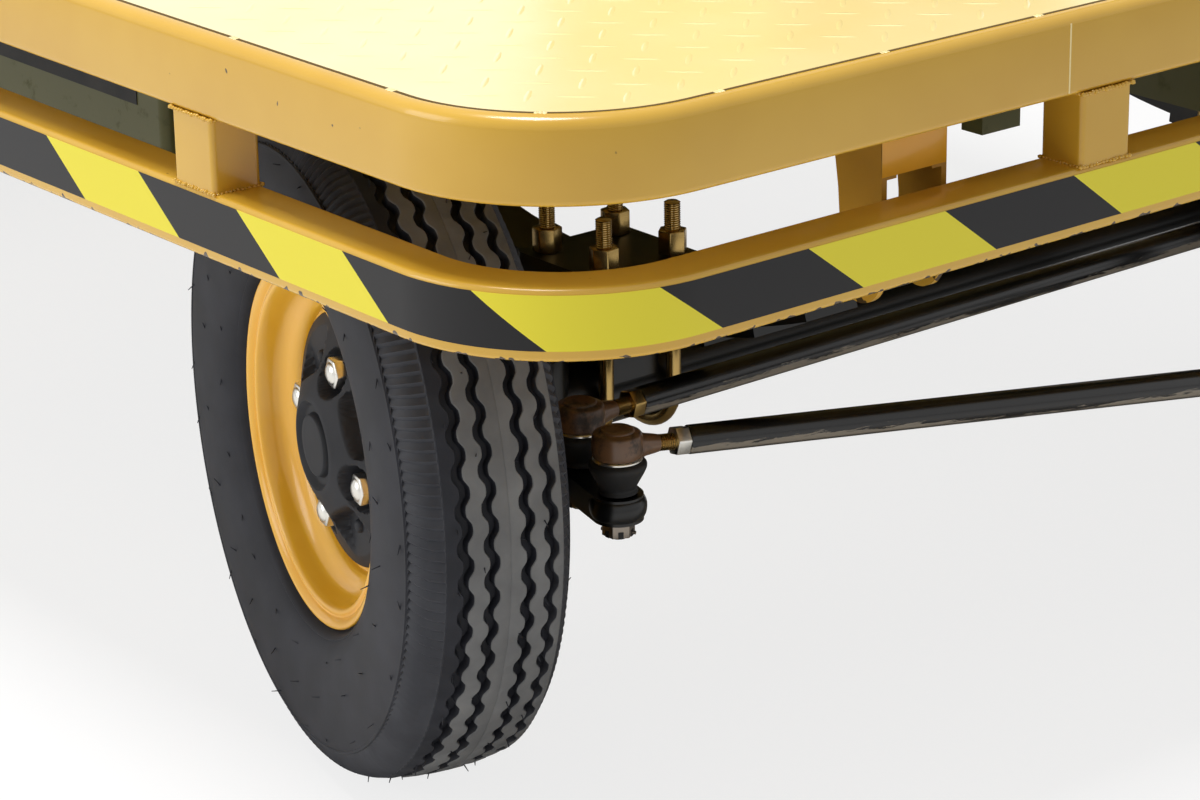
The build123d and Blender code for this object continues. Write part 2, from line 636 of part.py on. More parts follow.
# Steering knuckles: a yoke on the kingpin, the wheel's spindle and the steering arm
for side, side_name, ball_reaches in (
    (RIGHT, "right", (TIE_BALL_REACH, DRAG_BALL_REACH)),
    (LEFT, "left", (TIE_BALL_REACH,)),
):
    pivot = steered_frame(AXLE_X, side * KINGPIN_Y, 0)
    outboard = pivot.y_dir * side
    wheel_centre = pivot.origin + outboard * WHEEL_OFFSET + Vector(0, 0, AXLE_Z)
    yoke_face = pivot.origin + outboard * YOKE_OUTER + Vector(0, 0, AXLE_Z)
    with BuildPart() as knuckle:
        for ear_base in (EAR_BASE, EAR_TOP - EAR_THICKNESS):
            with BuildSketch(pivot.offset(ear_base)):
                Circle(EAR_RADIUS)
                with Locations((0, side * YOKE_OUTER / 2)):
                    Rectangle(2 * EAR_RADIUS, YOKE_OUTER)
                Circle(KINGPIN_RADIUS + RUNNING_FIT, mode=Mode.SUBTRACT)
            extrude(amount=EAR_THICKNESS)
        with BuildSketch(pivot.offset(EAR_BASE)):
            with Locations((0, side * (YOKE_INNER + YOKE_OUTER) / 2)):
                Rectangle(2 * EAR_RADIUS, YOKE_OUTER - YOKE_INNER)
        extrude(amount=EAR_TOP - EAR_BASE)
        with BuildSketch(pivot.offset(ARM_BASE)):
            with BuildLine():
                Polyline(
                    (ARM_ROOT_INSET, side * YOKE_INNER),
                    (ARM_ROOT_INSET, side * YOKE_OUTER),
                    (EAR_RADIUS, side * YOKE_OUTER),
                    (TIE_BALL_REACH, side * ARM_EYE_RADIUS),
                    (TIE_BALL_REACH, -side * ARM_EYE_RADIUS),
                    close=True,
                )
            make_face()
            with Locations((TIE_BALL_REACH, 0)):
                Circle(ARM_EYE_RADIUS)
            if DRAG_BALL_REACH in ball_reaches:
                with Locations(((TIE_BALL_REACH + DRAG_BALL_REACH) / 2, 0)):
                    SlotCenterToCenter(DRAG_BALL_REACH - TIE_BALL_REACH, 2 * ARM_EYE_RADIUS)
        extrude(amount=ARM_THICKNESS)
        for reach in ball_reaches:
            ball_stud(pivot, reach, ARM_BASE)
        spindle(yoke_face, outboard, wheel_centre)
    write_piece(knuckle, f"knuckle_{side_name}")


def rod_with_ends(start, end):
    """Round rod between two ball joints: housings with sockets and boots, shanks and lock nuts."""
    direction = (end - start).normalized()
    length = (end - start).length
    for ball, heading in ((start, direction), (end, -direction)):
        housing_base = ball.Z - HOUSING_HEIGHT / 2
        with BuildPart(Plane(origin=(ball.X, ball.Y, housing_base)), mode=Mode.PRIVATE) as housing:
            Cylinder(HOUSING_RADIUS, HOUSING_HEIGHT, align=ON_BASE)
            fillet(housing.edges().group_by(Axis.Z)[-1], HOUSING_EDGE_RADIUS)
        add(housing.part)
        with Locations((ball.X, ball.Y, housing_base - BOOT_HEIGHT)):
            Cone(BOOT_WAIST_RADIUS, BOOT_TOP_RADIUS, BOOT_HEIGHT, align=ON_BASE)
        with Locations(along(ball, heading)):
            Cylinder(SHANK_RADIUS, SHANK_LENGTH, align=ON_BASE)
        with BuildSketch(along(ball + heading * LOCK_NUT_START, heading)) as nut:
            RegularPolygon(LOCK_NUT_RADIUS, 6)
        extrude(nut.sketch, amount=LOCK_NUT_LENGTH)
        with Locations((ball.X, ball.Y, housing_base - BOOT_HEIGHT)):
            Cylinder(
                STUD_RADIUS + SEAT_GAP,
                BOOT_HEIGHT + HOUSING_HEIGHT / 2,
                align=ON_BASE,
                mode=Mode.SUBTRACT,
            )
        with Locations(ball):
            Sphere(BALL_RADIUS + SEAT_GAP, mode=Mode.SUBTRACT)
    with Locations(along(start + direction * SHANK_LENGTH, direction)):
        Cylinder(ROD_RADIUS, length - 2 * SHANK_LENGTH, align=ON_BASE)


right_pivot = steered_frame(AXLE_X, -KINGPIN_Y, ROD_Z)
left_pivot = steered_frame(AXLE_X, KINGPIN_Y, ROD_Z)
column_pivot = steered_frame(COLUMN_X, DRIVER_Y, ROD_Z - DRAG_DROP)

with BuildPart() as tie_rod:
    tie_start = ground_spot(right_pivot, TIE_BALL_REACH, 0)
    rod_with_ends(tie_start, ground_spot(left_pivot, TIE_BALL_REACH, 0))
write_piece(tie_rod, "tie_rod")

with BuildPart() as drag_link:
    drag_start = ground_spot(right_pivot, DRAG_BALL_REACH, 0)
    rod_with_ends(drag_start, ground_spot(column_pivot, DRAG_BALL_REACH, 0))
write_piece(drag_link, "drag_link")

# Rear axle with its gear case, and the motor beside it
with BuildPart() as rear_axle:
    tube_end = WHEEL_Y + BACKPLATE_BACK
    with BuildSketch(Plane.XZ.offset(-tube_end)):
        with Locations((-AXLE_X, AXLE_Z)):
            Circle(TUBE_RADIUS)
    extrude(amount=2 * tube_end)
    spring_pads(-AXLE_X)
    with BuildSketch(Plane.XZ):
        with Locations((-AXLE_X, AXLE_Z)):
            Circle(GEAR_CASE_RADIUS)
        with Locations((MOTOR_X, AXLE_Z)):
            Circle(MOTOR_RADIUS)
        with BuildLine():
            Polyline(
                (-AXLE_X, AXLE_Z + GEAR_CASE_RADIUS),
                (MOTOR_X, AXLE_Z + MOTOR_RADIUS),
                (MOTOR_X, AXLE_Z - MOTOR_RADIUS),
                (-AXLE_X, AXLE_Z - GEAR_CASE_RADIUS),
                close=True,
            )
        make_face()
    extrude(amount=GEAR_CASE_WIDTH / 2, both=True)
    for side in (RIGHT, LEFT):
        rear_centre = Vector(-AXLE_X, side * WHEEL_Y, AXLE_Z)
        tube_stop = Vector(-AXLE_X, side * (tube_end - SPINDLE_FLANGE_RADIUS), AXLE_Z)
        spindle(tube_stop, Vector(0, side, 0), rear_centre)
write_piece(rear_axle, "rear_axle")

with BuildPart() as drive_motor:
    motor_start = Vector(MOTOR_X, MOTOR_START, AXLE_Z)
    with Locations(along(motor_start, (0, 1, 0))):
        Cylinder(MOTOR_RADIUS, MOTOR_LENGTH, align=ON_BASE)
    with Locations(along(motor_start + Vector(0, MOTOR_LENGTH, 0), (0, 1, 0))):
        Cylinder(MOTOR_CAP_RADIUS, MOTOR_CAP_LENGTH, align=ON_BASE)
write_piece(drive_motor, "drive_motor")

# Battery box, hung from the beams
with BuildPart() as battery_box:
    with BuildSketch(Plane.XY.offset(BOX_BASE)):
        with Locations((BOX_X, 0)):
            RectangleRounded(BOX_LENGTH, 2 * BOX_HALF_WIDTH, BOX_EDGE_RADIUS)
    extrude(amount=RAIL_BASE - BOX_BASE)
    with BuildSketch(Plane.XY.offset(RAIL_BASE - BOX_LIP_HEIGHT)):
        with Locations((BOX_X, 0)):
            RectangleRounded(
                BOX_LENGTH + 2 * BOX_LIP_PROUD,
                2 * (BOX_HALF_WIDTH + BOX_LIP_PROUD),
                BOX_EDGE_RADIUS + BOX_LIP_PROUD,
            )
    extrude(amount=BOX_LIP_HEIGHT)
write_piece(battery_box, "battery_box")

# Folded brackets under the cross members: the column's with the lower bearing, the pedal's, a small one
with BuildPart() as column_bracket:
    with BuildSketch(Plane.YZ.offset(BRACKET_REAR)):
        bracket_z = RAIL_BASE - BRACKET_DROP / 2
        with Locations((DRIVER_Y, bracket_z), (PEDAL_Y, bracket_z)):
            Rectangle(BRACKET_WIDTH, BRACKET_DROP)
            with Locations((0, BRACKET_PLATE)):
                Rectangle(BRACKET_WIDTH - 2 * BRACKET_PLATE, BRACKET_DROP, mode=Mode.SUBTRACT)
    extrude(amount=BRACKET_FRONT - BRACKET_REAR)
    with Locations((COLUMN_X, DRIVER_Y, BEARING_BASE)):
        Cylinder(BEARING_RADIUS, BEARING_LENGTH, align=ON_BASE)
        Cylinder(SHAFT_RADIUS + RUNNING_FIT, BEARING_LENGTH, align=ON_BASE, mode=Mode.SUBTRACT)
    with BuildSketch(Plane.XZ.offset(-PEDAL_Y)):
        with Locations((PEDAL_X, PEDAL_Z)):
            Circle(PEDAL_PIN_RADIUS + PIN_FIT)
    extrude(amount=BRACKET_WIDTH / 2, both=True, mode=Mode.SUBTRACT)
    with BuildSketch(Plane.XY.offset(RAIL_BASE - SMALL_BRACKET_DROP)):
        with Locations((BRACKET_FRONT - SMALL_BRACKET_DEPTH / 2, SMALL_BRACKET_Y)):
            Rectangle(SMALL_BRACKET_DEPTH, SMALL_BRACKET_WIDTH)
            with Locations((-BRACKET_PLATE, 0)):
                Rectangle(SMALL_BRACKET_DEPTH, SMALL_BRACKET_WIDTH - 2 * BRACKET_PLATE, mode=Mode.SUBTRACT)
    extrude(amount=SMALL_BRACKET_DROP)
write_piece(column_bracket, "column_bracket")

# Foot brake: pin in the bracket's cheeks, arm up through the slot in the floor, pad on its end
with BuildPart() as brake_pedal:
    pad_x = PEDAL_X + PEDAL_REACH * cos(radians(PEDAL_LEAN))
    pad_z = PEDAL_Z + PEDAL_REACH * sin(radians(PEDAL_LEAN))
    with BuildSketch(Plane.XZ.offset(-PEDAL_Y)):
        with Locations((PEDAL_X, PEDAL_Z)):
            Circle(PEDAL_PIN_RADIUS)
    extrude(amount=BRACKET_WIDTH / 2 + PIN_PROUD, both=True)
    with BuildSketch(Plane.XZ.offset(-PEDAL_Y)):
        with Locations(((PEDAL_X + pad_x) / 2, (PEDAL_Z + pad_z) / 2)):
            SlotCenterToCenter(PEDAL_REACH, PEDAL_ARM_WIDTH, rotation=PEDAL_LEAN)
    extrude(amount=PEDAL_ARM_THICKNESS / 2, both=True)
    with BuildSketch(Plane.XZ.offset(-PEDAL_Y)):
        with Locations((pad_x, pad_z)):
            SlotOverall(PAD_LENGTH, PAD_THICKNESS, rotation=-PAD_LEAN)
    extrude(amount=PAD_WIDTH / 2, both=True)
write_piece(brake_pedal, "brake_pedal")

# Steering column with the lever at its foot and the handlebar clamp on top
with BuildPart() as steering_column:
    column_frame = steered_frame(COLUMN_X, DRIVER_Y, 0)
    with Locations((COLUMN_X, DRIVER_Y, LEVER_BASE)):
        Cylinder(SHAFT_RADIUS, DECK_HEIGHT - LEVER_BASE, align=ON_BASE)
        Cylinder(LEVER_HUB_RADIUS, 2 * ARM_THICKNESS, align=ON_BASE)
    with Locations((COLUMN_X, DRIVER_Y, DECK_HEIGHT + SEAT_GAP)):
        Cylinder(COLUMN_FOOT_RADIUS, COLUMN_FOOT_HEIGHT, align=ON_BASE)
        Cylinder(COLUMN_RADIUS, COLUMN_TOP - DECK_HEIGHT - SEAT_GAP, align=ON_BASE)
    with Locations((COLUMN_X, DRIVER_Y, DECK_HEIGHT)):
        Cylinder(SHAFT_RADIUS, COLUMN_FOOT_HEIGHT, align=ON_BASE)
    with BuildSketch(column_frame.offset(LEVER_BASE)):
        with Locations((DRAG_BALL_REACH / 2, 0)):
            SlotCenterToCenter(DRAG_BALL_REACH, 2 * ARM_EYE_RADIUS)
    extrude(amount=ARM_THICKNESS)
    ball_stud(column_frame, DRAG_BALL_REACH, LEVER_BASE)
    with BuildSketch(column_frame.offset(COLUMN_TOP)):
        Rectangle(BAR_CLAMP_SIZE, BAR_CLAMP_WIDTH)
    extrude(amount=BAR_CLAMP_SIZE)
    bar_bore = steered_frame(COLUMN_X, DRIVER_Y, CLAMP_Z)
    with Locations(along(ground_spot(bar_bore, 0, -BAR_CLAMP_WIDTH), bar_bore.y_dir)):
        Cylinder(BAR_RADIUS + SEAT_GAP, 2 * BAR_CLAMP_WIDTH, align=ON_BASE, mode=Mode.SUBTRACT)
write_piece(steering_column, "steering_column")

# Handlebar: straight through the clamp, up and back to the grips on both sides
bar_frame = steered_frame(COLUMN_X, DRIVER_Y, CLAMP_Z)


def bar_point(back, out, up):
    """Point of the handlebar, measured back, to the left and up from the clamp."""
    return ground_spot(bar_frame, -back, out) + Vector(0, 0, up)


with BuildPart() as handlebar:
    with BuildLine() as bar_path:
        FilletPolyline(
            bar_point(BAR_PULLBACK, -BAR_REACH, BAR_RISE),
            bar_point(BAR_SHOULDER, -BAR_REACH + BAR_SHOULDER, BAR_RISE),
            bar_point(0, -BAR_SHOULDER, 0),
            bar_point(0, BAR_SHOULDER, 0),
            bar_point(BAR_SHOULDER, BAR_REACH - BAR_SHOULDER, BAR_RISE),
            bar_point(BAR_PULLBACK, BAR_REACH, BAR_RISE),
            radius=BAR_BEND_RADIUS,
        )
    bar_wire = bar_path.wire()
    with BuildSketch(Plane(origin=bar_wire @ 0, z_dir=bar_wire % 0)) as bar_section:
        Circle(BAR_RADIUS)
    sweep(bar_section.sketch, path=bar_wire)
write_piece(handlebar, "handlebar")

with BuildPart() as grips:
    for bar_end, inward in ((bar_wire @ 0, bar_wire % 0), (bar_wire @ 1, -(bar_wire % 1))):
        with Locations(Plane(origin=bar_end - inward * GRIP_RADIUS, z_dir=inward)):
            Cylinder(GRIP_RADIUS, GRIP_LENGTH, align=ON_BASE)
        with Locations(Plane(origin=bar_end - inward * SEAT_GAP, z_dir=inward)):
            Cylinder(BAR_RADIUS + SEAT_GAP, GRIP_LENGTH, align=ON_BASE, mode=Mode.SUBTRACT)
write_piece(grips, "grips")

with BuildPart() as control_head:
    with BuildSketch(steered_frame(COLUMN_X, DRIVER_Y, COLUMN_TOP + BAR_CLAMP_SIZE)):
        RectangleRounded(HEAD_LENGTH, HEAD_WIDTH, HEAD_EDGE_RADIUS)
    extrude(amount=HEAD_HEIGHT)
    fillet(control_head.edges().group_by(Axis.Z)[-1], HEAD_EDGE_RADIUS / 2)
write_piece(control_head, "control_head")

# Driver's seat on a pedestal
with BuildPart() as seat_base:
    with BuildSketch(Plane.XY.offset(DECK_HEIGHT)):
        with Locations((SEAT_X, DRIVER_Y)):
            RectangleRounded(SEAT_BASE_LENGTH, SEAT_BASE_WIDTH, SEAT_BASE_RADIUS)
    extrude(amount=SEAT_BASE_HEIGHT)
write_piece(seat_base, "seat_base")

with BuildPart() as seat_straps:
    strap_rear = BACK_REAR - SEAT_GAP
    strap_top = BACK_BASE + BACK_HEIGHT / 2
    for strap_side in (RIGHT, LEFT):
        with BuildSketch(Plane.XZ.offset(-DRIVER_Y - strap_side * STRAP_SPACING / 2)):
            with BuildLine():
                Polyline(
                    (SEAT_X, SEAT_BASE_TOP),
                    (strap_rear - STRAP_THICKNESS, SEAT_BASE_TOP),
                    (strap_rear - STRAP_THICKNESS, strap_top),
                    (strap_rear, strap_top),
                    (strap_rear, SEAT_BASE_TOP + STRAP_THICKNESS),
                    (SEAT_X, SEAT_BASE_TOP + STRAP_THICKNESS),
                    close=True,
                )
            make_face()
        extrude(amount=STRAP_WIDTH / 2, both=True)
write_piece(seat_straps, "seat_straps")

with BuildPart() as seat_cushion:
    with BuildSketch(Plane.XY.offset(CUSHION_BASE)):
        with Locations((SEAT_X, DRIVER_Y)):
            RectangleRounded(SEAT_LENGTH, SEAT_WIDTH, 2 * SEAT_EDGE_RADIUS)
    extrude(amount=SEAT_THICKNESS)
    fillet(seat_cushion.edges().group_by(Axis.Z)[-1], SEAT_EDGE_RADIUS)
write_piece(seat_cushion, "seat_cushion")

with BuildPart() as seat_back:
    with BuildSketch(Plane.YZ.offset(BACK_REAR)):
        with Locations((DRIVER_Y, BACK_BASE + BACK_HEIGHT / 2)):
            RectangleRounded(SEAT_WIDTH, BACK_HEIGHT, 2 * SEAT_EDGE_RADIUS)
    extrude(amount=BACK_THICKNESS)
    fillet(seat_back.edges().group_by(Axis.X)[-1], SEAT_EDGE_RADIUS)
write_piece(seat_back, "seat_back")

# Wheels: name, axle, side and steering angle of each
WHEELS = (
    ("front_right", AXLE_X, RIGHT, PARKED_STEER),
    ("front_left", AXLE_X, LEFT, PARKED_STEER),
    ("rear_right", -AXLE_X, RIGHT, 0),
    ("rear_left", -AXLE_X, LEFT, 0),
)
for wheel_name, axle_x, side, steer in WHEELS:
    outboard = Vector(-sin(radians(steer)), cos(radians(steer)), 0) * side
    centre = Vector(axle_x, side * KINGPIN_Y, AXLE_Z) + outboard * WHEEL_OFFSET
    # In this plane x is the radius and y runs outboard along the wheel's axis
    section = Plane(origin=centre, x_dir=(0, 0, 1), z_dir=Vector(0, 0, 1).cross(outboard))
    wheel_axis = Axis(centre, outboard)
    bead_radius = RIM_SEAT_RADIUS + SEAT_GAP
    bead_half = RIM_HALF_WIDTH - SEAT_GAP

    with BuildPart() as tyre:
        with BuildSketch(section):
            with BuildLine():
                bead = Line((bead_radius, 0), (bead_radius, bead_half))
                flank = Line(bead @ 1, (RIM_FLANGE_RADIUS + RIM_WALL / 2, bead_half))
                wall = ThreePointArc(
                    flank @ 1,
                    (TYRE_BULGE_RADIUS, TYRE_HALF_WIDTH),
                    (SHOULDER_RADIUS, SHOULDER_HALF_WIDTH),
                )
                Line(wall @ 1, (TREAD_EDGE_RADIUS, TREAD_HALF_WIDTH))
                mirror(about=Plane.XZ)
                ThreePointArc(
                    (TREAD_EDGE_RADIUS, TREAD_HALF_WIDTH),
                    (TYRE_RADIUS, 0),
                    (TREAD_EDGE_RADIUS, -TREAD_HALF_WIDTH),
                )
            make_face()
        revolve(axis=wheel_axis)
    write_piece(tyre, f"tyre_{wheel_name}")

    with BuildPart() as rim:
        with BuildSketch(section):
            with BuildLine():
                tyre_side = Polyline(
                    (RIM_WELL_RADIUS, 0),
                    (RIM_WELL_RADIUS, RIM_WELL_HALF_WIDTH),
                    (RIM_SEAT_RADIUS - SEAT_TAPER, RIM_SEAT_END),
                    (RIM_SEAT_RADIUS, RIM_HALF_WIDTH),
                    (RIM_LIP_RADIUS, RIM_HALF_WIDTH),
                )
                open_side = FilletPolyline(
                    (RIM_LIP_RADIUS, RIM_HALF_WIDTH + RIM_WALL),
                    (RIM_SEAT_RADIUS - RIM_WALL, RIM_HALF_WIDTH + RIM_WALL),
                    (RIM_SEAT_RADIUS - RIM_WALL - SEAT_TAPER, RIM_SEAT_END + RIM_WALL),
                    (RIM_WELL_RADIUS - RIM_WALL, RIM_WELL_HALF_WIDTH + RIM_WALL),
                    (RIM_WELL_RADIUS - RIM_WALL, 0),
                    radius=RIM_BEND_RADIUS,
                )
                ThreePointArc(
                    tyre_side @ 1, (RIM_FLANGE_RADIUS, RIM_HALF_WIDTH + RIM_WALL / 2), open_side @ 0
                )
                mirror(about=Plane.XZ)
            make_face()
            with Locations(((DISC_RADIUS + DISC_BORE_RADIUS) / 2, DISC_FACE - DISC_THICKNESS / 2)):
                Rectangle(DISC_RADIUS - DISC_BORE_RADIUS, DISC_THICKNESS)
        revolve(axis=wheel_axis)
    write_piece(rim, f"rim_{wheel_name}")

    # Brake drum behind the disc, and the moulded cover in front of it
    with BuildPart() as hub:
        with BuildSketch(section):
            with BuildLine():
                Polyline(
                    (0, DISC_FACE),
                    (COVER_RADIUS, DISC_FACE),
                    (COVER_RADIUS, DISC_FACE + COVER_SKIRT),
                    (COVER_SHOULDER_RADIUS, DISC_FACE + COVER_SHOULDER),
                    (COVER_CROWN_RADIUS, COVER_TOP),
                    (COVER_GROOVE_RADIUS, COVER_TOP),
                    (COVER_GROOVE_RADIUS, COVER_TOP - COVER_GROOVE_DEPTH),
                    (COVER_DISC_RADIUS, COVER_TOP - COVER_GROOVE_DEPTH),
                    (COVER_DISC_RADIUS, COVER_TOP),
                    (0, COVER_TOP),
                    close=True,
                )
            make_face()
        revolve(axis=wheel_axis)
        cover_face = along(centre + outboard * COVER_TOP, outboard)
        with BuildSketch(cover_face):
            with PolarLocations(NUT_CIRCLE_RADIUS, NUT_COUNT, NUT_CLOCK):
                Circle(NUT_POCKET_RADIUS)
        extrude(amount=-NUT_POCKET_DEPTH, mode=Mode.SUBTRACT)
        with BuildSketch(cover_face):
            with PolarLocations(RECESS_CIRCLE, NUT_COUNT, NUT_CLOCK + 180 / NUT_COUNT):
                RectangleRounded(RECESS_WIDTH, RECESS_LENGTH, RECESS_CORNER)
        extrude(amount=-RECESS_DEPTH, mode=Mode.SUBTRACT)
        with Locations(along(centre + outboard * DRUM_BACK, outboard)):
            Cylinder(DRUM_RADIUS, DRUM_DEPTH, align=ON_BASE)
            Cylinder(
                SPINDLE_RADIUS + RUNNING_FIT,
                DRUM_DEPTH - SPINDLE_INSET / 2,
                align=ON_BASE,
                mode=Mode.SUBTRACT,
            )
    write_piece(hub, f"hub_{wheel_name}")
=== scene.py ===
import math
import random

import bmesh
import bpy
from mathutils import Matrix, Vector


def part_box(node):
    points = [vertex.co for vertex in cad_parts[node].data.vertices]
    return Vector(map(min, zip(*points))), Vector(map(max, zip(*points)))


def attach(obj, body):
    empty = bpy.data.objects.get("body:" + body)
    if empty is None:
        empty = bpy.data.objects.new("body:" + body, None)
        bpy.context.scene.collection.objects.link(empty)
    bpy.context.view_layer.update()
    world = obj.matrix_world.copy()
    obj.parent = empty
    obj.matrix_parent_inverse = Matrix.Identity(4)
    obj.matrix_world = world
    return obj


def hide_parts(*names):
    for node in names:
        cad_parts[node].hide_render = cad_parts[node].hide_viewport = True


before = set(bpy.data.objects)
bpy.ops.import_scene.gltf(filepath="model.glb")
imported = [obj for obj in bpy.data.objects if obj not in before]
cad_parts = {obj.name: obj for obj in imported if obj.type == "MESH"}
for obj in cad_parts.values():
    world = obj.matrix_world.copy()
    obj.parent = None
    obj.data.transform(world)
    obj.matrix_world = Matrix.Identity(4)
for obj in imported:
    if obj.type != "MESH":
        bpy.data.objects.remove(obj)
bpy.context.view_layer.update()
scene = bpy.context.scene

# Sizes in millimetres, as in the CAD model: X forward, Y to the left, Z up from the ground
MM = 0.001
UP = Vector((0, 0, 1))

# Platform
HALF_LENGTH = 1250
HALF_WIDTH = 750
CORNER_RADIUS = 140
RAIL_DEPTH = 40
RAIL_LIP = 10
TOP_ROUND = 9
FOOT_ROUND = 5
TUBE_ROUND = 4
DECK_TOP = 609
PLATE_BASE = 605
RAIL_BASE = 549
BUMPER_TOP = 495
BUMPER_BASE = 445
POST_WIDTH = 50
POST_Y = 233
PLATE_SEAM_X = 190
END_SEAM_Y = 272

# Hazard tape: its edges, how far it stands out of the bumper, and its stripes
TAPE_TOP = 491
TAPE_BASE = 453
TAPE_OUT = 0.3
TAPE_IN = 0.1
STRIPE = 125.8
STRIPE_START = 471
STRIPE_SLANT = 50 / 38

# Axles and wheels
AXLE_X = 868
AXLE_Z = 258.5
BEAM_Y = 376
KINGPIN_Y = 457
WHEEL_OFFSET = 133
SIDE_POST_X = (AXLE_X, AXLE_X / 3, -AXLE_X / 3, -AXLE_X)

# Steering, parked to the right as in the photo
STEER = math.radians(-14.7)
STEERED_FORWARD = Vector((math.cos(STEER), math.sin(STEER), 0))
STEERED_LEFT = Vector((-math.sin(STEER), math.cos(STEER), 0))
COLUMN_X = 1022
DRIVER_Y = 190
TIE_ARM = 93
STEER_ARM = 160
ROD_Z = 280.8
DRAG_DROP = 49

# Ball joints of the tie rod and of the drag link, from right to left
KNUCKLES = [Vector((AXLE_X, side * KINGPIN_Y, ROD_Z)) for side in (-1, 1)]
COLUMN_LEVER = Vector((COLUMN_X, DRIVER_Y, ROD_Z - DRAG_DROP))
TIE_BALLS = [pivot + STEERED_FORWARD * TIE_ARM for pivot in KNUCKLES]
DRAG_BALLS = [pivot + STEERED_FORWARD * STEER_ARM for pivot in (KNUCKLES[0], COLUMN_LEVER)]

# Wheels: name, centre and the direction that points out of the cart
WHEELS = []
for axle, axle_x, leftward in (
    ("front", AXLE_X, STEERED_LEFT),
    ("rear", -AXLE_X, Vector((0, 1, 0))),
):
    for side, sign in (("right", -1), ("left", 1)):
        pivot = Vector((axle_x, sign * KINGPIN_Y, AXLE_Z))
        outboard = leftward * sign
        WHEELS.append((f"{axle}_{side}", pivot + outboard * WHEEL_OFFSET, outboard))


# Materials
def linear(text):
    """Linear colour from an sRGB hex value."""
    channels = [int(text[i : i + 2], 16) / 255 for i in (0, 2, 4)]
    return [c / 12.92 if c <= 0.04045 else ((c + 0.055) / 1.055) ** 2.4 for c in channels] + [1.0]


def add_node(tree, kind, inputs, **settings):
    """Adds a shader node; each named input gets a value or a link from a socket."""
    node = tree.nodes.new("ShaderNode" + kind)
    for name, value in settings.items():
        setattr(node, name, value)
    for name, value in inputs.items():
        if isinstance(value, bpy.types.NodeSocket):
            tree.links.new(value, node.inputs[name])
        else:
            node.inputs[name].default_value = value
    return node


def new_finish(name, colour, roughness, **sockets):
    """A material with its plain values set on the shader itself."""
    material = bpy.data.materials.new(name)
    material.use_nodes = True
    shader = material.node_tree.nodes["Principled BSDF"]
    shader.inputs["Base Color"].default_value = linear(colour)
    shader.inputs["Roughness"].default_value = roughness
    for socket, value in sockets.items():
        shader.inputs[socket.replace("_", " ")].default_value = value
    return material, material.node_tree, shader


def object_place(tree):
    """Socket with the place on the piece, in metres."""
    return add_node(tree, "TexCoord", {}).outputs["Object"]


def axes_of(tree, vector):
    """Sockets with the X, Y and Z of a vector."""
    return add_node(tree, "SeparateXYZ", {"Vector": vector}).outputs


def clouds(tree, place, size, detail, broken=0.5):
    """Socket with a cloudy pattern of about a size in millimetres."""
    inputs = {"Vector": place, "Scale": 1 / (size * MM), "Detail": detail, "Roughness": broken}
    return add_node(tree, "TexNoise", inputs).outputs["Fac"]


def reckon(tree, operation, first, second=0.0):
    """Socket with the result of a sum on two numbers or sockets."""
    return add_node(tree, "Math", {0: first, 1: second}, operation=operation).outputs[0]


def ramp(tree, value, low, high, first=0.0, last=1.0):
    """Socket that goes from a first to a last number while a value goes from low to high."""
    inputs = {"Value": value, "From Min": low, "From Max": high, "To Min": first, "To Max": last}
    return add_node(tree, "MapRange", inputs).outputs["Result"]


def blend(tree, factor, first, second):
    """Socket with a mix of two colours, each a hex value or a socket."""
    under, over = [linear(c) if isinstance(c, str) else c for c in (first, second)]
    inputs = {"Factor": factor, "A": under, "B": over}
    return add_node(tree, "Mix", inputs, data_type="RGBA").outputs["Result"]


def add_bump(tree, shader, height, strength, depth):
    """Gives a shader a bump from a height, with its depth in millimetres."""
    inputs = {"Height": height, "Strength": strength, "Distance": depth * MM}
    bump = add_node(tree, "Bump", inputs)
    tree.links.new(bump.outputs["Normal"], shader.inputs["Normal"])


# Enamel chips: their colour, their soft edge, and how they gather below a scuffed height
CHIP_COLOUR = "4A3A22"
CHIP_EDGE = 0.03
SCUFF_CHIPS = 0.54
SCUFF_FADE = 5


def brushed_enamel(name, colour, tired, chips, scuffed=0, gloss=0.3, haze=0.05):
    """Gloss enamel: uneven shade and a few dark chips, many of them below a scuffed height."""
    sheen = {"IOR": 1.45, "Coat_Weight": gloss, "Coat_Roughness": haze}
    material, tree, shader = new_finish(name, colour, 0.26, **sheen)
    place = object_place(tree)
    # Clouds of about 120 mm in the shade of the paint
    shade = ramp(tree, clouds(tree, place, 120, 3.0), 0.35, 0.7)
    paint = blend(tree, shade, colour, tired)
    # Chips of about 3 mm, far apart
    low, high = scuffed * MM, (scuffed + SCUFF_FADE) * MM
    spared = ramp(tree, axes_of(tree, place)["Z"], low, high, SCUFF_CHIPS, chips)
    past = reckon(tree, "ADD", spared, CHIP_EDGE)
    chip = ramp(tree, clouds(tree, place, 9, 1.0), spared, past)
    tree.links.new(blend(tree, chip, paint, CHIP_COLOUR), shader.inputs["Base Color"])
    # Orange peel of about 5 mm
    add_bump(tree, shader, clouds(tree, place, 5, 2.0), 0.06, 0.5)
    return material


# Yellow gloss enamel on steel tube: ochre, slightly uneven, chipped here and there
yellow_enamel = brushed_enamel("yellow_gloss_enamel", "D9AC3C", "D1A233", 0.80)
# The same enamel on the bumper, chipped along its lower edge
bumper_enamel = brushed_enamel(
    "scuffed_yellow_enamel", "D9AC3C", "D1A233", 0.80, scuffed=BUMPER_BASE + 1
)
# Duller enamel on the spring hangers, dark with grease at their eyes, below 432 mm
hanger_enamel = brushed_enamel(
    "greasy_yellow_enamel", "C99A38", "B58830", 0.80, scuffed=432, gloss=0.1
)
# Yellow enamel on the tread plate, painted much paler than on the rails: a painted highlight of the
# top light over it. Thick, with a broad soft glare
deck_enamel_painted_highlight = brushed_enamel("deck_gloss_enamel_painted_highlight", "FBE9A8", "F9E49C", 0.86, gloss=0.7, haze=0.3)
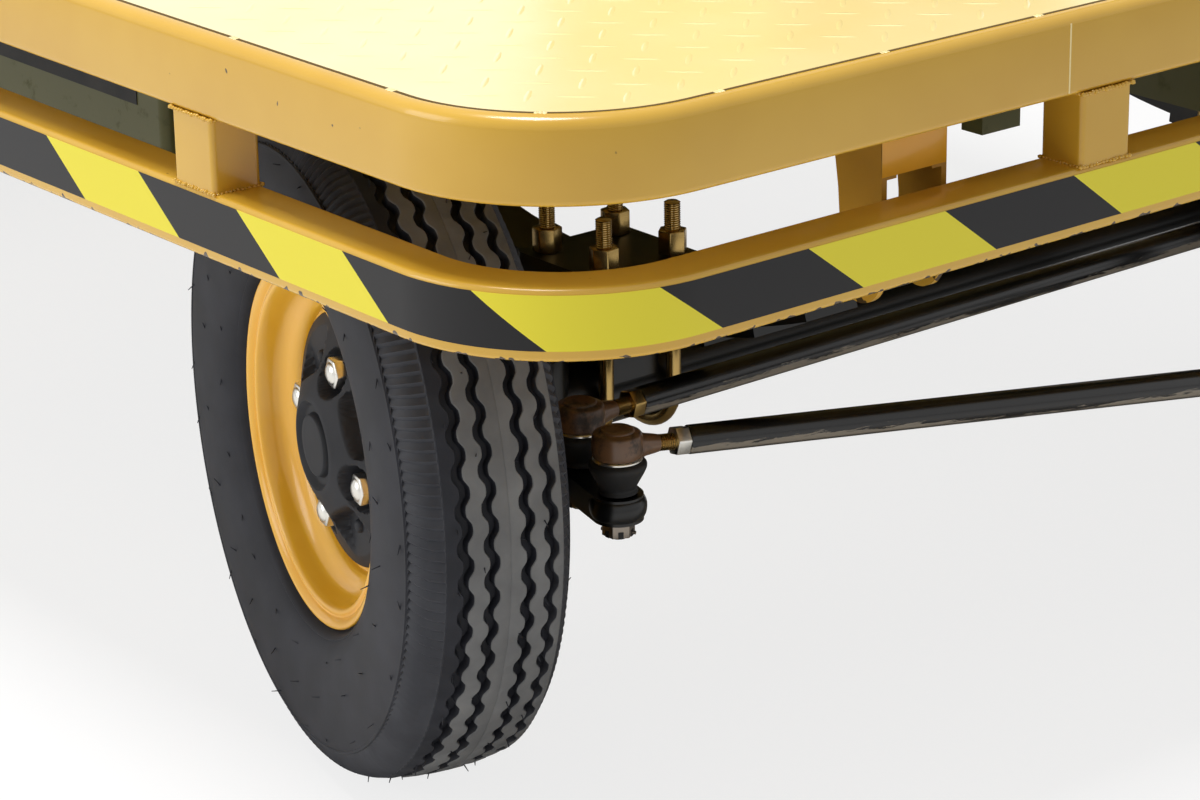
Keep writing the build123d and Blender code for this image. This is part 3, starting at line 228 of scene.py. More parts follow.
# Orange-yellow enamel baked on the pressed rims: clean and bright
orange_enamel = brushed_enamel("orange_baked_enamel", "F5BC38", "F0B02C", 0.84)


def worn_enamel(name, colour, worn, amount, shine=0.5):
    """Satin paint or oiled steel, rubbed to a second, duller colour in patches."""
    material, tree, shader = new_finish(name, colour, 0.3, IOR=1.5, Specular_IOR_Level=shine)
    # Rubbed patches of about 25 mm with a broken edge
    rubbed = clouds(tree, object_place(tree), 25, 6.0, broken=0.7)
    bare = ramp(tree, rubbed, amount, amount + 0.12)
    tree.links.new(blend(tree, bare, colour, worn), shader.inputs["Base Color"])
    tree.links.new(ramp(tree, bare, 0, 1, 0.28, 0.6), shader.inputs["Roughness"])
    return material


# Black enamel on the axles, springs and column, hardly worn
black_enamel = worn_enamel("black_enamel", "0C0C0B", "3E382F", 0.68, 0.4)
# Grey-green primer on folded plate and the battery box: flat and dirty
primer = worn_enamel("grey_green_primer", "555433", "4A4A2C", 0.56, 0.15)
# Dark grey paint on the motor: plain, with darker patches
motor_paint = worn_enamel("grey_motor_paint", "46484B", "35373A", 0.55)
# Brown forged steel of the ball housings: oily, with dark stains
forged_steel = worn_enamel("oiled_forged_steel", "6A4C32", "35291F", 0.5)


def rubbed_rod(name, start, end):
    """Black enamel on a rod between two points, rubbed to steel in streaks along its lower side."""
    enamel, steel = "0D0C0B", "8A8173"
    material, tree, shader = new_finish(name, enamel, 0.26, IOR=1.5)
    place = object_place(tree)
    axes = axes_of(tree, place)
    # Height of a spot over the rod's own line
    slope = (end.z - start.z) / (end.y - start.y)
    level = reckon(tree, "SUBTRACT", axes["Z"], reckon(tree, "MULTIPLY", axes["Y"], slope))
    over = reckon(tree, "SUBTRACT", level, (start.z - slope * start.y) * MM)
    # Streaks about 30 mm long and 3 mm high, gathered in patches of 150 mm
    inputs = {0: place, 1: (0.1, 0.1, 1)}
    stretched = add_node(tree, "VectorMath", inputs, operation="MULTIPLY").outputs[0]
    streaks = clouds(tree, stretched, 3, 8.0, broken=0.7)
    both = reckon(tree, "ADD", streaks, clouds(tree, place, 150, 2.0))
    ragged = reckon(tree, "SUBTRACT", over, reckon(tree, "MULTIPLY", both, 22 * MM))
    bare = ramp(tree, ragged, -25.7 * MM, -26.9 * MM)
    # The lowest part of the rod keeps its enamel
    kept = ramp(tree, over, -8.8 * MM, -6.6 * MM)
    amount = reckon(tree, "MULTIPLY", bare, kept)
    tree.links.new(blend(tree, amount, enamel, steel), shader.inputs["Base Color"])
    tree.links.new(ramp(tree, amount, 0, 1, 0.26, 0.6), shader.inputs["Roughness"])
    return material


# Black enamel on the two rods: glossy, worn to grey-brown along the underside
tie_rod_enamel = rubbed_rod("rubbed_tie_rod_enamel", *TIE_BALLS)
drag_link_enamel = rubbed_rod("rubbed_drag_link_enamel", *DRAG_BALLS)


def rubber(name, colour, dusty, grain):
    """Moulded rubber or nylon: matt, dusted in patches, with a fine grain in millimetres."""
    material, tree, shader = new_finish(name, colour, 0.6, IOR=1.52, Specular_IOR_Level=0.28)
    place = object_place(tree)
    dust = ramp(tree, clouds(tree, place, 40, 5.0), 0.4, 0.75)
    tree.links.new(blend(tree, dust, colour, dusty), shader.inputs["Base Color"])
    add_bump(tree, shader, clouds(tree, place, grain, 2.0), 0.12, 0.4)
    return material


# Tyre sidewalls: nearly black, with a cool tint that is a painted reflection
tyre_rubber = rubber("tyre_rubber", "1B1C22", "282930", 2.0)
# The ribs' tops, dulled grey by the road
tread_rubber = rubber("road_worn_rubber", "686868", "7E7E7D", 3.0)
# The fluted shoulders: painted lighter than the sidewalls, a painted highlight of the side light on
# them, dusted in patches
shoulder_rubber_painted_highlight = rubber("dusty_shoulder_rubber_painted_highlight", "34353A", "45464B", 3.0)
# Boots of the ball joints: black rubber, brown with dust; the black strips on the battery box use
# it too
boot_rubber = rubber("boot_rubber", "191919", "2A2826", 2.0)
# Handlebar grips: plain dark grey
grip_rubber = rubber("grip_rubber", "1E1E1E", "2C2C2C", 2.0)
# Glass-filled nylon of the hub covers and the control head: black, low sheen
black_plastic = rubber("moulded_black_nylon", "1B1C20", "26272C", 1.0)
# Zinc plate on the wheel nuts: bright, slightly warm
zinc, _, _ = new_finish("zinc_plate", "D5D3CC", 0.28, Metallic=1.0)
# Yellow chromate over zinc on the bolts and lock nuts: dull gold
yellow_zinc, _, _ = new_finish("yellow_chromate_zinc", "B0935A", 0.26, Metallic=1.0)
# Grey steel of pins and castle nuts: oiled, soft shine
bare_steel, _, _ = new_finish("oiled_steel", "8A8177", 0.38, Metallic=1.0)
# Smoked acrylic of the blank panel on the control head: black mirror
panel_gloss, _, _ = new_finish("smoked_acrylic", "0A0B0D", 0.08, IOR=1.49)
# Painted shade and dirt in the gap between the deck and its rail: flat brown
gap_shade_and_dirt, _, _ = new_finish("painted_gap_shade_and_dirt", "5A430F", 0.9)


def grained_vinyl():
    """Vinyl with a leather grain of about 3 mm."""
    material, tree, shader = new_finish("grained_black_vinyl", "202022", 0.5, IOR=1.5)
    inputs = {"Vector": object_place(tree), "Scale": 1 / (3 * MM)}
    grain = add_node(tree, "TexVoronoi", inputs).outputs["Distance"]
    add_bump(tree, shader, grain, 0.25, 0.5)
    return material


# Black vinyl over foam on the seat: satin, finely grained
black_vinyl = grained_vinyl()


def hazard_tape():
    """Vinyl tape with slanting stripes, laid along its own UV in metres."""
    yellow, black = "EBDD38", "181718"
    sheen = {"IOR": 1.5, "Specular_IOR_Level": 0.3}
    material, tree, shader = new_finish("hazard_vinyl_tape", yellow, 0.34, **sheen)
    axes = axes_of(tree, add_node(tree, "UVMap", {}, uv_map="tape").outputs["UV"])
    lean = reckon(tree, "MULTIPLY", axes["Y"], STRIPE_SLANT)
    along = reckon(tree, "ADD", axes["X"], lean)
    start = (STRIPE_START + STRIPE_SLANT * TAPE_TOP) * MM
    turns = reckon(tree, "DIVIDE", reckon(tree, "SUBTRACT", along, start), 2 * STRIPE * MM)
    dark = reckon(tree, "LESS_THAN", reckon(tree, "FRACT", turns), 0.5)
    tree.links.new(blend(tree, dark, yellow, black), shader.inputs["Base Color"])
    return material


# Yellow and black tape round the bumper: flat colours, satin
striped_tape = hazard_tape()


# Shapes, all in millimetres until a piece is finished
def finish_piece(shape, name, materials, body, replaces=(), sharp=35):
    """Turns a shape into a piece in metres that rides on a body."""
    bmesh.ops.scale(shape, vec=(MM, MM, MM), verts=shape.verts)
    mesh = bpy.data.meshes.new(name)
    shape.to_mesh(mesh)
    shape.free()
    for material in materials:
        mesh.materials.append(material)
    mesh.shade_smooth()
    mesh.set_sharp_from_angle(angle=math.radians(sharp))
    piece = bpy.data.objects.new(name, mesh)
    scene.collection.objects.link(piece)
    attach(piece, body)
    if replaces:
        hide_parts(*replaces)


def baked(piece):
    """Mesh of a piece with its modifiers applied."""
    layout = bpy.context.evaluated_depsgraph_get()
    return bpy.data.meshes.new_from_object(piece.evaluated_get(layout))


def stamp(target, shape, place, material=0):
    """Adds a placed copy of a shape to another one."""
    copy = shape.copy()
    copy.transform(place)
    for face in copy.faces:
        face.material_index = material
    scratch = bpy.data.meshes.new("scratch")
    copy.to_mesh(scratch)
    copy.free()
    target.from_mesh(scratch)
    bpy.data.meshes.remove(scratch)


def spun(turn):
    """Turn about Z."""
    return Matrix.Rotation(turn, 4, "Z")


def moved(*spot):
    """Place at X, Y and Z."""
    return Matrix.Translation(spot)


def at(spot, axis=UP, turn=0.0):
    """Place whose Z axis points along a direction, turned about it."""
    swing = Vector(axis).to_track_quat("Z", "Y").to_matrix().to_4x4()
    return Matrix.Translation(spot) @ swing @ spun(turn)


def sized(*lengths):
    """Stretch of a unit shape to three lengths."""
    return Matrix.Diagonal((*lengths, 1))


def wheel_place(centre, outboard):
    """Place on a wheel: X up, Z out of the cart."""
    side = outboard.cross(UP)
    rows = [[UP[i], side[i], outboard[i]] for i in range(3)]
    return Matrix.Translation(centre) @ Matrix(rows).to_4x4()


def unit_cube():
    """Cube with edges of 1."""
    shape = bmesh.new()
    bmesh.ops.create_cube(shape, size=1)
    return shape


def unit_ball(fineness):
    """Ball with a radius of 1."""
    shape = bmesh.new()
    bmesh.ops.create_icosphere(shape, subdivisions=fineness, radius=1)
    return shape


def round_edges(shape, offset):
    """Rounds all edges of a shape a little."""
    rounding = {"affect": "EDGES", "segments": 2, "profile": 0.5, "material": -1}
    bmesh.ops.bevel(shape, geom=shape.edges, offset=offset, **rounding)


def soften(points, rounds):
    """Rounds an outline by cutting its corners."""
    for _ in range(rounds):
        cut = [points[0]]
        for (a, b), (c, d) in zip(points, points[1:]):
            cut.append((0.75 * a + 0.25 * c, 0.75 * b + 0.25 * d))
            cut.append((0.25 * a + 0.75 * c, 0.25 * b + 0.75 * d))
        points = cut + [points[-1]]
    return points


def revolved(outline, steps):
    """Shape spun about Z from (radius, height) points."""
    shape = bmesh.new()
    verts = [shape.verts.new((radius, 0, height)) for radius, height in outline]
    edges = [shape.edges.new(pair) for pair in zip(verts, verts[1:])]
    bmesh.ops.spin(
        shape,
        geom=verts + edges,
        cent=(0, 0, 0),
        axis=UP,
        angle=2 * math.pi,
        steps=steps,
        use_merge=True,
    )
    bmesh.ops.remove_doubles(shape, verts=shape.verts, dist=0.001)
    bmesh.ops.recalc_face_normals(shape, faces=shape.faces)
    return shape


def hexagon(width, height, chamfer):
    """Hexagon nut or bolt head standing on its base, with rounded edges."""
    shape = bmesh.new()
    radius = width / math.sqrt(3)
    bmesh.ops.create_cone(
        shape, cap_ends=True, segments=6, radius1=radius, radius2=radius, depth=height
    )
    bmesh.ops.translate(shape, verts=shape.verts, vec=(0, 0, height / 2))
    round_edges(shape, chamfer)
    return shape


# Depth of a thread, and the chamfer at the end of a threaded rod
THREAD_DEPTH = 0.9
THREAD_END = 0.6


def thread(radius, length, pitch, steps=20):
    """Threaded rod, its thread drawn as rings."""
    outline = [(0, 0)]
    for ring in range(int(length / pitch)):
        outline.append((radius - THREAD_DEPTH, ring * pitch))
        outline.append((radius, (ring + 0.5) * pitch))
    outline.append((radius - THREAD_DEPTH, length - THREAD_END))
    outline.append((radius - 2 * THREAD_DEPTH, length))
    outline.append((0, length))
    return revolved(outline, steps)


def ring_edges(verts):
    """Edges that join the given vertices to each other."""
    chosen = set(verts)
    return list({e for v in verts for e in v.link_edges if all(u in chosen for u in e.verts)})


def verts_in(made):
    """Vertices among what an operator made."""
    return [g for g in made if isinstance(g, bmesh.types.BMVert)]


def platform_loop(outline, steps=24):
    """Closed outline of (inset, height) points swept round the platform from its rear middle."""
    shape = bmesh.new()
    verts = [shape.verts.new((inset - HALF_LENGTH, 0, height)) for inset, height in outline]
    for pair in zip(verts, verts[1:] + verts[:1]):
        shape.edges.new(pair)
    run_x, run_y = HALF_LENGTH - CORNER_RADIUS, HALF_WIDTH - CORNER_RADIUS
    # Straight run, then the centre of the corner that follows it
    legs = (
        ((0, -run_y, 0), (-run_x, -run_y, 0)),
        ((2 * run_x, 0, 0), (run_x, -run_y, 0)),
        ((0, 2 * run_y, 0), (run_x, run_y, 0)),
        ((-2 * run_x, 0, 0), (-run_x, run_y, 0)),
        ((0, -run_y, 0), None),
    )
    for run, centre in legs:
        made = bmesh.ops.extrude_edge_only(shape, edges=ring_edges(verts))["geom"]
        verts = verts_in(made)
        bmesh.ops.translate(shape, verts=verts, vec=run)
        if centre:
            made = bmesh.ops.spin(
                shape,
                geom=verts + ring_edges(verts),
                cent=centre,
                axis=UP,
                angle=math.pi / 2,
                steps=steps,
            )["geom_last"]
            verts = verts_in(made)
    bmesh.ops.remove_doubles(shape, verts=shape.verts, dist=0.001)
    bmesh.ops.recalc_face_normals(shape, faces=shape.faces)
    return shape


def quarter(inset, height, radius, start, count=5):
    """Points of a quarter round in an outline, clockwise from a start angle in degrees."""
    angles = [math.radians(start - 90 * i / count) for i in range(count + 1)]
    return [(inset + radius * math.cos(a), height + radius * math.sin(a)) for a in angles]


CUBE = unit_cube()

# Rails
top_outline = (
    quarter(TOP_ROUND, DECK_TOP - TOP_ROUND, TOP_ROUND, 180)
    + [(RAIL_LIP, DECK_TOP), (RAIL_LIP, PLATE_BASE), (RAIL_DEPTH, PLATE_BASE)]
    + quarter(RAIL_DEPTH - TUBE_ROUND, RAIL_BASE + TUBE_ROUND, TUBE_ROUND, 0)
    + quarter(FOOT_ROUND, RAIL_BASE + FOOT_ROUND, FOOT_ROUND, 270)
)
finish_piece(
    platform_loop(top_outline),
    "top_rail_loop",
    [yellow_enamel],
    "chassis",
    ("top_rails", "top_corners"),
)
bumper_outline = (
    quarter(TUBE_ROUND, BUMPER_TOP - TUBE_ROUND, TUBE_ROUND, 180)
    + quarter(RAIL_DEPTH - TUBE_ROUND, BUMPER_TOP - TUBE_ROUND, TUBE_ROUND, 90)
    + quarter(RAIL_DEPTH - TUBE_ROUND, BUMPER_BASE + TUBE_ROUND, TUBE_ROUND, 0)
    + quarter(TUBE_ROUND, BUMPER_BASE + TUBE_ROUND, TUBE_ROUND, 270)
)
finish_piece(
    platform_loop(bumper_outline),
    "bumper_rail_loop",
    [bumper_enamel],
    "chassis",
    ("bumper_rails", "bumper_corners"),
)


def along_outline(x, y, rear_left):
    """Distance along the platform's outline, from the front end of the front right corner."""
    run_x, run_y = HALF_LENGTH - CORNER_RADIUS, HALF_WIDTH - CORNER_RADIUS
    bend = math.pi / 2 * CORNER_RADIUS
    angle = math.atan2(max(abs(y) - run_y, 0), max(abs(x) - run_x, 0))
    if x > 0:
        turned = angle * CORNER_RADIUS
        straight = min(abs(y), run_y)
        reach = straight + turned + max(run_x - x, 0)
    else:
        turned = (math.pi / 2 - angle) * CORNER_RADIUS
        reach = run_y + bend + run_x - max(x, -run_x) + turned + run_y - min(abs(y), run_y)
    # The rear middle is the end of both ways round
    if abs(y) < 0.01 and x < 0:
        return run_y + (reach if rear_left else -reach)
    return run_y + math.copysign(reach, y)


tape_outline = [(-TAPE_OUT, TAPE_TOP), (TAPE_IN, TAPE_TOP), (TAPE_IN, TAPE_BASE)]
tape = platform_loop(tape_outline + [(-TAPE_OUT, TAPE_BASE)])
spread = tape.loops.layers.uv.new("tape")
for face in tape.faces:
    rear_left = face.calc_center_median().y > 0
    for loop in face.loops:
        x, y, z = loop.vert.co
        loop[spread].uv = (along_outline(x, y, rear_left) * MM, z * MM)
finish_piece(tape, "hazard_tape", [striped_tape], "chassis")

# Welds: rough beads round the posts, stitches across the gap round the deck, seams in the end rails
BEAD_PITCH = 3.2
RAIL_BEAD = (RAIL_BASE - 0.3, 2.2)
BUMPER_BEAD = (BUMPER_TOP + 0.2, 1.8)
CORNER_SIGNS = ((1, 1), (-1, 1), (-1, -1), (1, -1))
bead_drop = unit_ball(1)
stitch_drop = unit_ball(2)
rough = random.Random(7)


def bead(target, start, end, radius):
    """Row of overlapping drops of weld from one point to another."""
    start, end = Vector(start), Vector(end)
    count = max(2, int((end - start).length / BEAD_PITCH))
    for step in range(count + 1):
        size = radius * rough.uniform(0.8, 1.1)
        stray = Vector([rough.uniform(-0.4, 0.4) for _ in range(3)])
        spot = start.lerp(end, step / count) + stray
        stamp(target, bead_drop, moved(*spot) @ sized(size, size, size * 0.85))


beads = bmesh.new()
half_depth, half_width = RAIL_DEPTH / 2, POST_WIDTH / 2
posts = []
for sx in (1, -1):
    for sy in (1, -1):
        posts.append((sx * (HALF_LENGTH - half_depth), sy * POST_Y, half_depth, half_width))
for x in SIDE_POST_X:
    for sy in (1, -1):
        posts.append((x, sy * (HALF_WIDTH - half_depth), half_width, half_depth))
for x, y, half_x, half_y in posts:
    corners = [(x + sx * half_x, y + sy * half_y) for sx, sy in CORNER_SIGNS]
    for near, far in zip(corners, corners[1:] + corners[:1]):
        for height, radius in (RAIL_BEAD, BUMPER_BEAD):
            bead(beads, (*near, height), (*far, height), radius)
finish_piece(beads, "post_weld_beads", [yellow_enamel], "chassis", sharp=80)

# A flat brown strip fills the gap just inside the rail's lip: painted shade of the gap, with dirt
GAP_START, GAP_END, GAP_DEPTH = 10.4, 13.2, 2
gap_outline = [
    (GAP_START, DECK_TOP - GAP_DEPTH),
    (GAP_START, DECK_TOP),
    (GAP_END, DECK_TOP + 0.15),
    (GAP_END, DECK_TOP - GAP_DEPTH),
]
finish_piece(platform_loop(gap_outline), "deck_gap", [gap_shade_and_dirt], "chassis")

# Stitch welds in the deck's enamel, whose paler colour is a painted highlight
STITCH_INSET = 12
END_STITCH_PITCH = 146
SIDE_STITCH_PITCH = 182
stitches = bmesh.new()
stitch_x, stitch_y = HALF_LENGTH - STITCH_INSET, HALF_WIDTH - STITCH_INSET
stitch_spots = []
for step in range(-4, 5):
    stitch_spots += [(sx * stitch_x, step * END_STITCH_PITCH, 0) for sx in (1, -1)]
for step in range(-6, 7):
    stitch_spots += [(step * SIDE_STITCH_PITCH, sy * stitch_y, math.pi / 2) for sy in (1, -1)]
bend_reach = (CORNER_RADIUS - STITCH_INSET) * math.sqrt(0.5)
bend_x = HALF_LENGTH - CORNER_RADIUS + bend_reach
bend_y = HALF_WIDTH - CORNER_RADIUS + bend_reach
for sx in (1, -1):
    for sy in (1, -1):
        stitch_spots.append((sx * bend_x, sy * bend_y, sx * sy * math.pi / 4))
for x, y, turn in stitch_spots:
    place = moved(x, y, DECK_TOP - 0.9) @ spun(turn)
    for slide in (-2.8, 0, 2.8):
        size = sized(4.0, rough.uniform(1.6, 2.4), rough.uniform(1.2, 1.6))
        stamp(stitches, stitch_drop, place @ moved(0, slide, 0) @ size)
finish_piece(stitches, "deck_stitch_welds", [deck_enamel_painted_highlight], "chassis", sharp=80)

# Seams in the end rails: thin ridges in the deck's enamel, whose paler colour is a painted
# highlight
seams = bmesh.new()
seam_z = (RAIL_BASE + DECK_TOP) / 2 - 2
for sx in (1, -1):
    for sy in (1, -1):
        place = moved(sx * HALF_LENGTH, sy * END_SEAM_Y, seam_z)
        stamp(seams, CUBE, place @ sized(0.5, 1.4, 50))
finish_piece(seams, "end_rail_seams", [deck_enamel_painted_highlight], "chassis")

# Tread plate: lens-shaped bars in two directions on a square grid
BAR_PITCH = 45.3
BAR_HALF_SIZE = (16, 2.4, 0.4)
BAR_SINK = 0.05
# How far the middle of a bar keeps from the deck's edge, the plates' seam and what stands on them
EDGE_CLEAR = 28
SEAM_CLEAR = 12
SEAT_X = 480
SEAT_CLEAR_X, SEAT_CLEAR_Y = 186, 216
COLUMN_CLEAR = 58
PEDAL_Y = DRIVER_Y - 100
PEDAL_CLEAR_X, PEDAL_CLEAR_Y = 52, 28


def bar_fits(x, y, low_x, high_x):
    """Whether a bar may lie at a spot on the plate between two X values."""
    past_x = max(abs(x) - HALF_LENGTH + CORNER_RADIUS, 0)
    past_y = max(abs(y) - HALF_WIDTH + CORNER_RADIUS, 0)
    if math.hypot(past_x, past_y) > CORNER_RADIUS - EDGE_CLEAR:
        return False
    if not low_x + SEAM_CLEAR < x < high_x - SEAM_CLEAR:
        return False
    on_seat = abs(x - SEAT_X) < SEAT_CLEAR_X and abs(y - DRIVER_Y) < SEAT_CLEAR_Y
    on_column = math.hypot(x - COLUMN_X, y - DRIVER_Y) < COLUMN_CLEAR
    on_pedal = abs(x - COLUMN_X) < PEDAL_CLEAR_X and abs(y - PEDAL_Y) < PEDAL_CLEAR_Y
    return not (on_seat or on_column or on_pedal)


def tread_bars(name, low_x, high_x):
    """Raised bars over the part of the deck between two X values."""
    cell = bmesh.new()
    lens = bmesh.new()
    bmesh.ops.create_uvsphere(lens, u_segments=8, v_segments=4, radius=1)
    lower = [v for v in lens.verts if v.co.z < -0.1]
    bmesh.ops.delete(lens, geom=lower, context="VERTS")
    count = len(lens.verts)
    for shift, turn in ((0, math.pi / 4), (BAR_PITCH / 2, -math.pi / 4)):
        place = moved(low_x + shift, shift - HALF_WIDTH, DECK_TOP - BAR_SINK)
        stamp(cell, lens, place @ spun(turn) @ sized(*BAR_HALF_SIZE))
    mesh = bpy.data.meshes.new("bar_cell")
    cell.to_mesh(mesh)
    holder = bpy.data.objects.new("bar_cell", mesh)
    scene.collection.objects.link(holder)
    for axis, reach in ((0, high_x - low_x), (1, 2 * HALF_WIDTH)):
        row = holder.modifiers.new("row", "ARRAY")
        row.use_relative_offset = False
        row.use_constant_offset = True
        row.constant_offset_displace = [BAR_PITCH if i == axis else 0 for i in range(3)]
        row.count = int(reach / BAR_PITCH) + 1
    grid = baked(holder)
    bpy.data.objects.remove(holder)
    bars = bmesh.new()
    bars.from_mesh(grid)
    bars.verts.ensure_lookup_table()
    gone = []
    for first in range(0, len(bars.verts), count):
        bar = [bars.verts[i] for i in range(first, first + count)]
        x = sum(v.co.x for v in bar) / count
        y = sum(v.co.y for v in bar) / count
        if not bar_fits(x, y, low_x, high_x):
            gone += bar
    bmesh.ops.delete(bars, geom=gone, context="VERTS")
    finish_piece(bars, name, [deck_enamel_painted_highlight], "chassis", sharp=60)


tread_bars("floor_tread_bars", PLATE_SEAM_X, HALF_LENGTH)
tread_bars("load_tread_bars", -HALF_LENGTH, PLATE_SEAM_X)

# Tyres: five ribs between four wavy grooves, a fluted shoulder and a plain sidewall
RIB_WAVES = 60
WAVE_REACH = 2.3
WAVE_FULLNESS = 1.35
TYRE_STEPS = 600
FLUTE_DEPTHS = (0.0, 1.5, 2.6)
FLUTE_LEAN = 0.0009
FLUTE_TOP = 252
GROOVES = (27, 8, -20, -39)
# Groove's side as (distance from its middle, depth) points
GROOVE_SIDE = ((4.4, 0), (3.7, 0.8), (2.8, 8))
# A thin mould seam runs round the middle rib, just before the third groove
RIB_SEAM = -6
SEAM_SIDE = ((0.9, 0), (0, 0.6), (-0.9, 0))
RIBS_LOW, RIBS_HIGH = -49, 26
SHOULDER_START = 41
SHOULDER_FOOT = 232


def crown(across):
    """Radius of the tread at a distance from its middle."""
    return AXLE_Z - 6.5 * (across / 50) ** 2


def tyre_outline():
    """Points of the tyre: radius, height, share in the groove wave, share in the flutes."""
    wall = [(127.3, 30, 0), (127.3, 43, 0), (141.2, 44.2, 0), (142.2, 47, 0), (143.6, 50.6, 0)]
    wall += [(145.6, 53.6, 0), (146.8, 54.5, 0), (147.6, 54.2, 0), (148.6, 55.2, 0)]
    wall += [(153, 58.2, 0), (160, 61.2, 0), (170, 63.8, 0), (182, 65.5, 0), (195, 66, 0)]
    wall += [(206, 65.8, 0), (216, 64.9, 0), (224, 63.6, 0), (229.4, 62.5, 0), (230, 63.1, 0)]
    wall += [(231.6, 62.9, 0), (232.4, 61.6, 0), (233.4, 61.2, 0.8), (236.5, 60.3, 1)]
    wall += [(240, 58.9, 1), (243.4, 57, 1), (246.4, 54.6, 1), (249, 51.8, 1)]
    outer = [(251, 48.6, 1), (252.6, 45, 1), (253.6, 42.6, 1)]
    outer += [(crown(41.4) - 0.3, 41.4, 0.5), (crown(40.6), 40.6, 0)]
    inner = [(250.6, 50.6, 0.8), (crown(49.4) - 0.2, 49.4, 0.4), (crown(48.6), 48.6, 0)]
    points = [(r, h, 0, f) for r, h, f in wall + outer]
    both_sides = GROOVE_SIDE + tuple((-across, depth) for across, depth in reversed(GROOVE_SIDE))
    for groove in GROOVES:
        if groove == GROOVES[2]:
            points += [(crown(RIB_SEAM) - depth, RIB_SEAM + s, 0, 0) for s, depth in SEAM_SIDE]
        for across, depth in both_sides:
            points.append((crown(groove + across) - depth, groove + across, 1, 0))
    points += [(r, -h, 0, f) for r, h, f in reversed(wall + inner)]
    return [(round(r, 1), round(h, 1), wave, flute) for r, h, wave, flute in points]


def tyre_shape():
    """Tyre about Z with waved grooves; materials are sidewall, ribs' tops, fluted shoulders painted
    lighter as a painted highlight.
    """
    points = tyre_outline()
    shape = revolved([p[:2] for p in points] + [points[0][:2]], TYRE_STEPS)
    shares = {(r, h): (w, f) for r, h, w, f in points}
    for face in shape.faces:
        middle = face.calc_center_median()
        radius = math.hypot(middle.x, middle.y)
        if RIBS_LOW < middle.z < RIBS_HIGH and radius > crown(middle.z) - 0.5:
            face.material_index = 1
        elif SHOULDER_START < abs(middle.z) and radius > SHOULDER_FOOT:
            face.material_index = 2
    for vert in shape.verts:
        radius, height = math.hypot(vert.co.x, vert.co.y), vert.co.z
        turn = math.atan2(vert.co.y, vert.co.x)
        wave, flute = shares.get((round(radius, 1), round(height, 1)), (0, 0))
        if wave:
            swing = WAVE_FULLNESS * math.sin(RIB_WAVES * turn)
            vert.co.z += WAVE_REACH * max(-1.0, min(1.0, swing))
        if flute:
            # The flutes lean as they run down the shoulder
            step = round(turn / (2 * math.pi) * TYRE_STEPS)
            depth = flute * FLUTE_DEPTHS[step % 3]
            lean = turn + FLUTE_LEAN * (FLUTE_TOP - radius) * math.copysign(1, height)
            reach = radius - 0.75 * depth
            vert.co.x, vert.co.y = reach * math.cos(lean), reach * math.sin(lean)
            vert.co.z -= math.copysign(0.65 * depth, height)
    return shape


# Rows of whiskers on one side of a tyre: how many, radius, height and how far they lean outwards
WHISKER_ROWS = (
    (24, 224, 63.4, 0.1),
    (22, 190, 65.6, 0.0),
    (20, 163, 61.6, -0.2),
    (26, 256, 33, 2.2),
    (24, 257, 14, 2.2),
)


def add_whiskers(shape, seed):
    """Thin rubber whiskers left by the mould's vents, on the sidewalls and the ribs."""
    chance = random.Random(seed)
    hair = bmesh.new()
    bmesh.ops.create_cone(hair, segments=5, radius1=0.6, radius2=0.3, depth=1)
    for side in (1, -1):
        for count, radius, height, out in WHISKER_ROWS:
            for step in range(count):
                turn = 2 * math.pi * (step + chance.uniform(-0.25, 0.25)) / count
                ray = Vector((math.cos(turn), math.sin(turn), 0))
                sideways = Vector((-math.sin(turn), math.cos(turn), 0))
                spot = ray * radius + UP * side * height
                lean = ray * out + UP * side * 0.5 + sideways * chance.uniform(-2.2, 2.2)
                length = chance.uniform(4, 8)
                lean.normalize()
                place = at(spot + lean * length / 2, lean)
                stamp(shape, hair, place @ sized(1, 1, length))


plain_tyre = tyre_shape()
whiskers = bmesh.new()
add_whiskers(whiskers, 3)

# Rims: rolled lip, step, S-shaped barrel, well and disc
rim_front = [(127, 44.5), (137.2, 44.5), (139.4, 45.2), (140.5, 47), (139.8, 49), (137.6, 49.6)]
rim_front += [(134.8, 48.6), (132.4, 46.6), (131.2, 45), (130, 45), (128.2, 46.4), (125.4, 46)]
rim_front += [(123.4, 42.5), (122, 37.5), (121, 32.5), (119.2, 28.4), (114.6, 24.8)]
rim_front += [(109, 22.6), (105, 19.6), (103, 16), (102, 11), (102, 0)]
rim_rear = [(102, -14), (103, -18), (121.5, -26), (123, -46), (125, -48.5), (138, -48.5)]
rim_rear += [(140, -46.5), (138.5, -44.5), (127, -44.5), (125.5, -22), (106, -14)]
rim_rear += [(106, 14), (125.5, 22), (127, 44.5)]
plain_rim = revolved(soften(rim_front, 2) + rim_rear, 144)
disc = revolved([(30, 8), (104, 8), (104, 14), (30, 14), (30, 8)], 96)
stamp(plain_rim, disc, Matrix.Identity(4))

# Hub covers: a coned moulding with round pockets for the nuts and square notches between them
NUT_TURNS = [math.radians(-15 + 90 * i) for i in range(4)]
NUT_CIRCLE = 63
NUT_SEAT = 17.6
POCKET_RADIUS = 18.8
POCKET_FLOOR = 18.2
NOTCH_CIRCLE = 66
NOTCH_HALF_WIDTH = 17
NOTCH_FLOOR = 22.2
WALL_RUN = 2.8
COVER_EDGE = 95
COVER_TOP = 46


def eased(value):
    """Smooth step from 0 to 1."""
    value = max(0.0, min(1.0, value))
    return value * value * (3 - 2 * value)


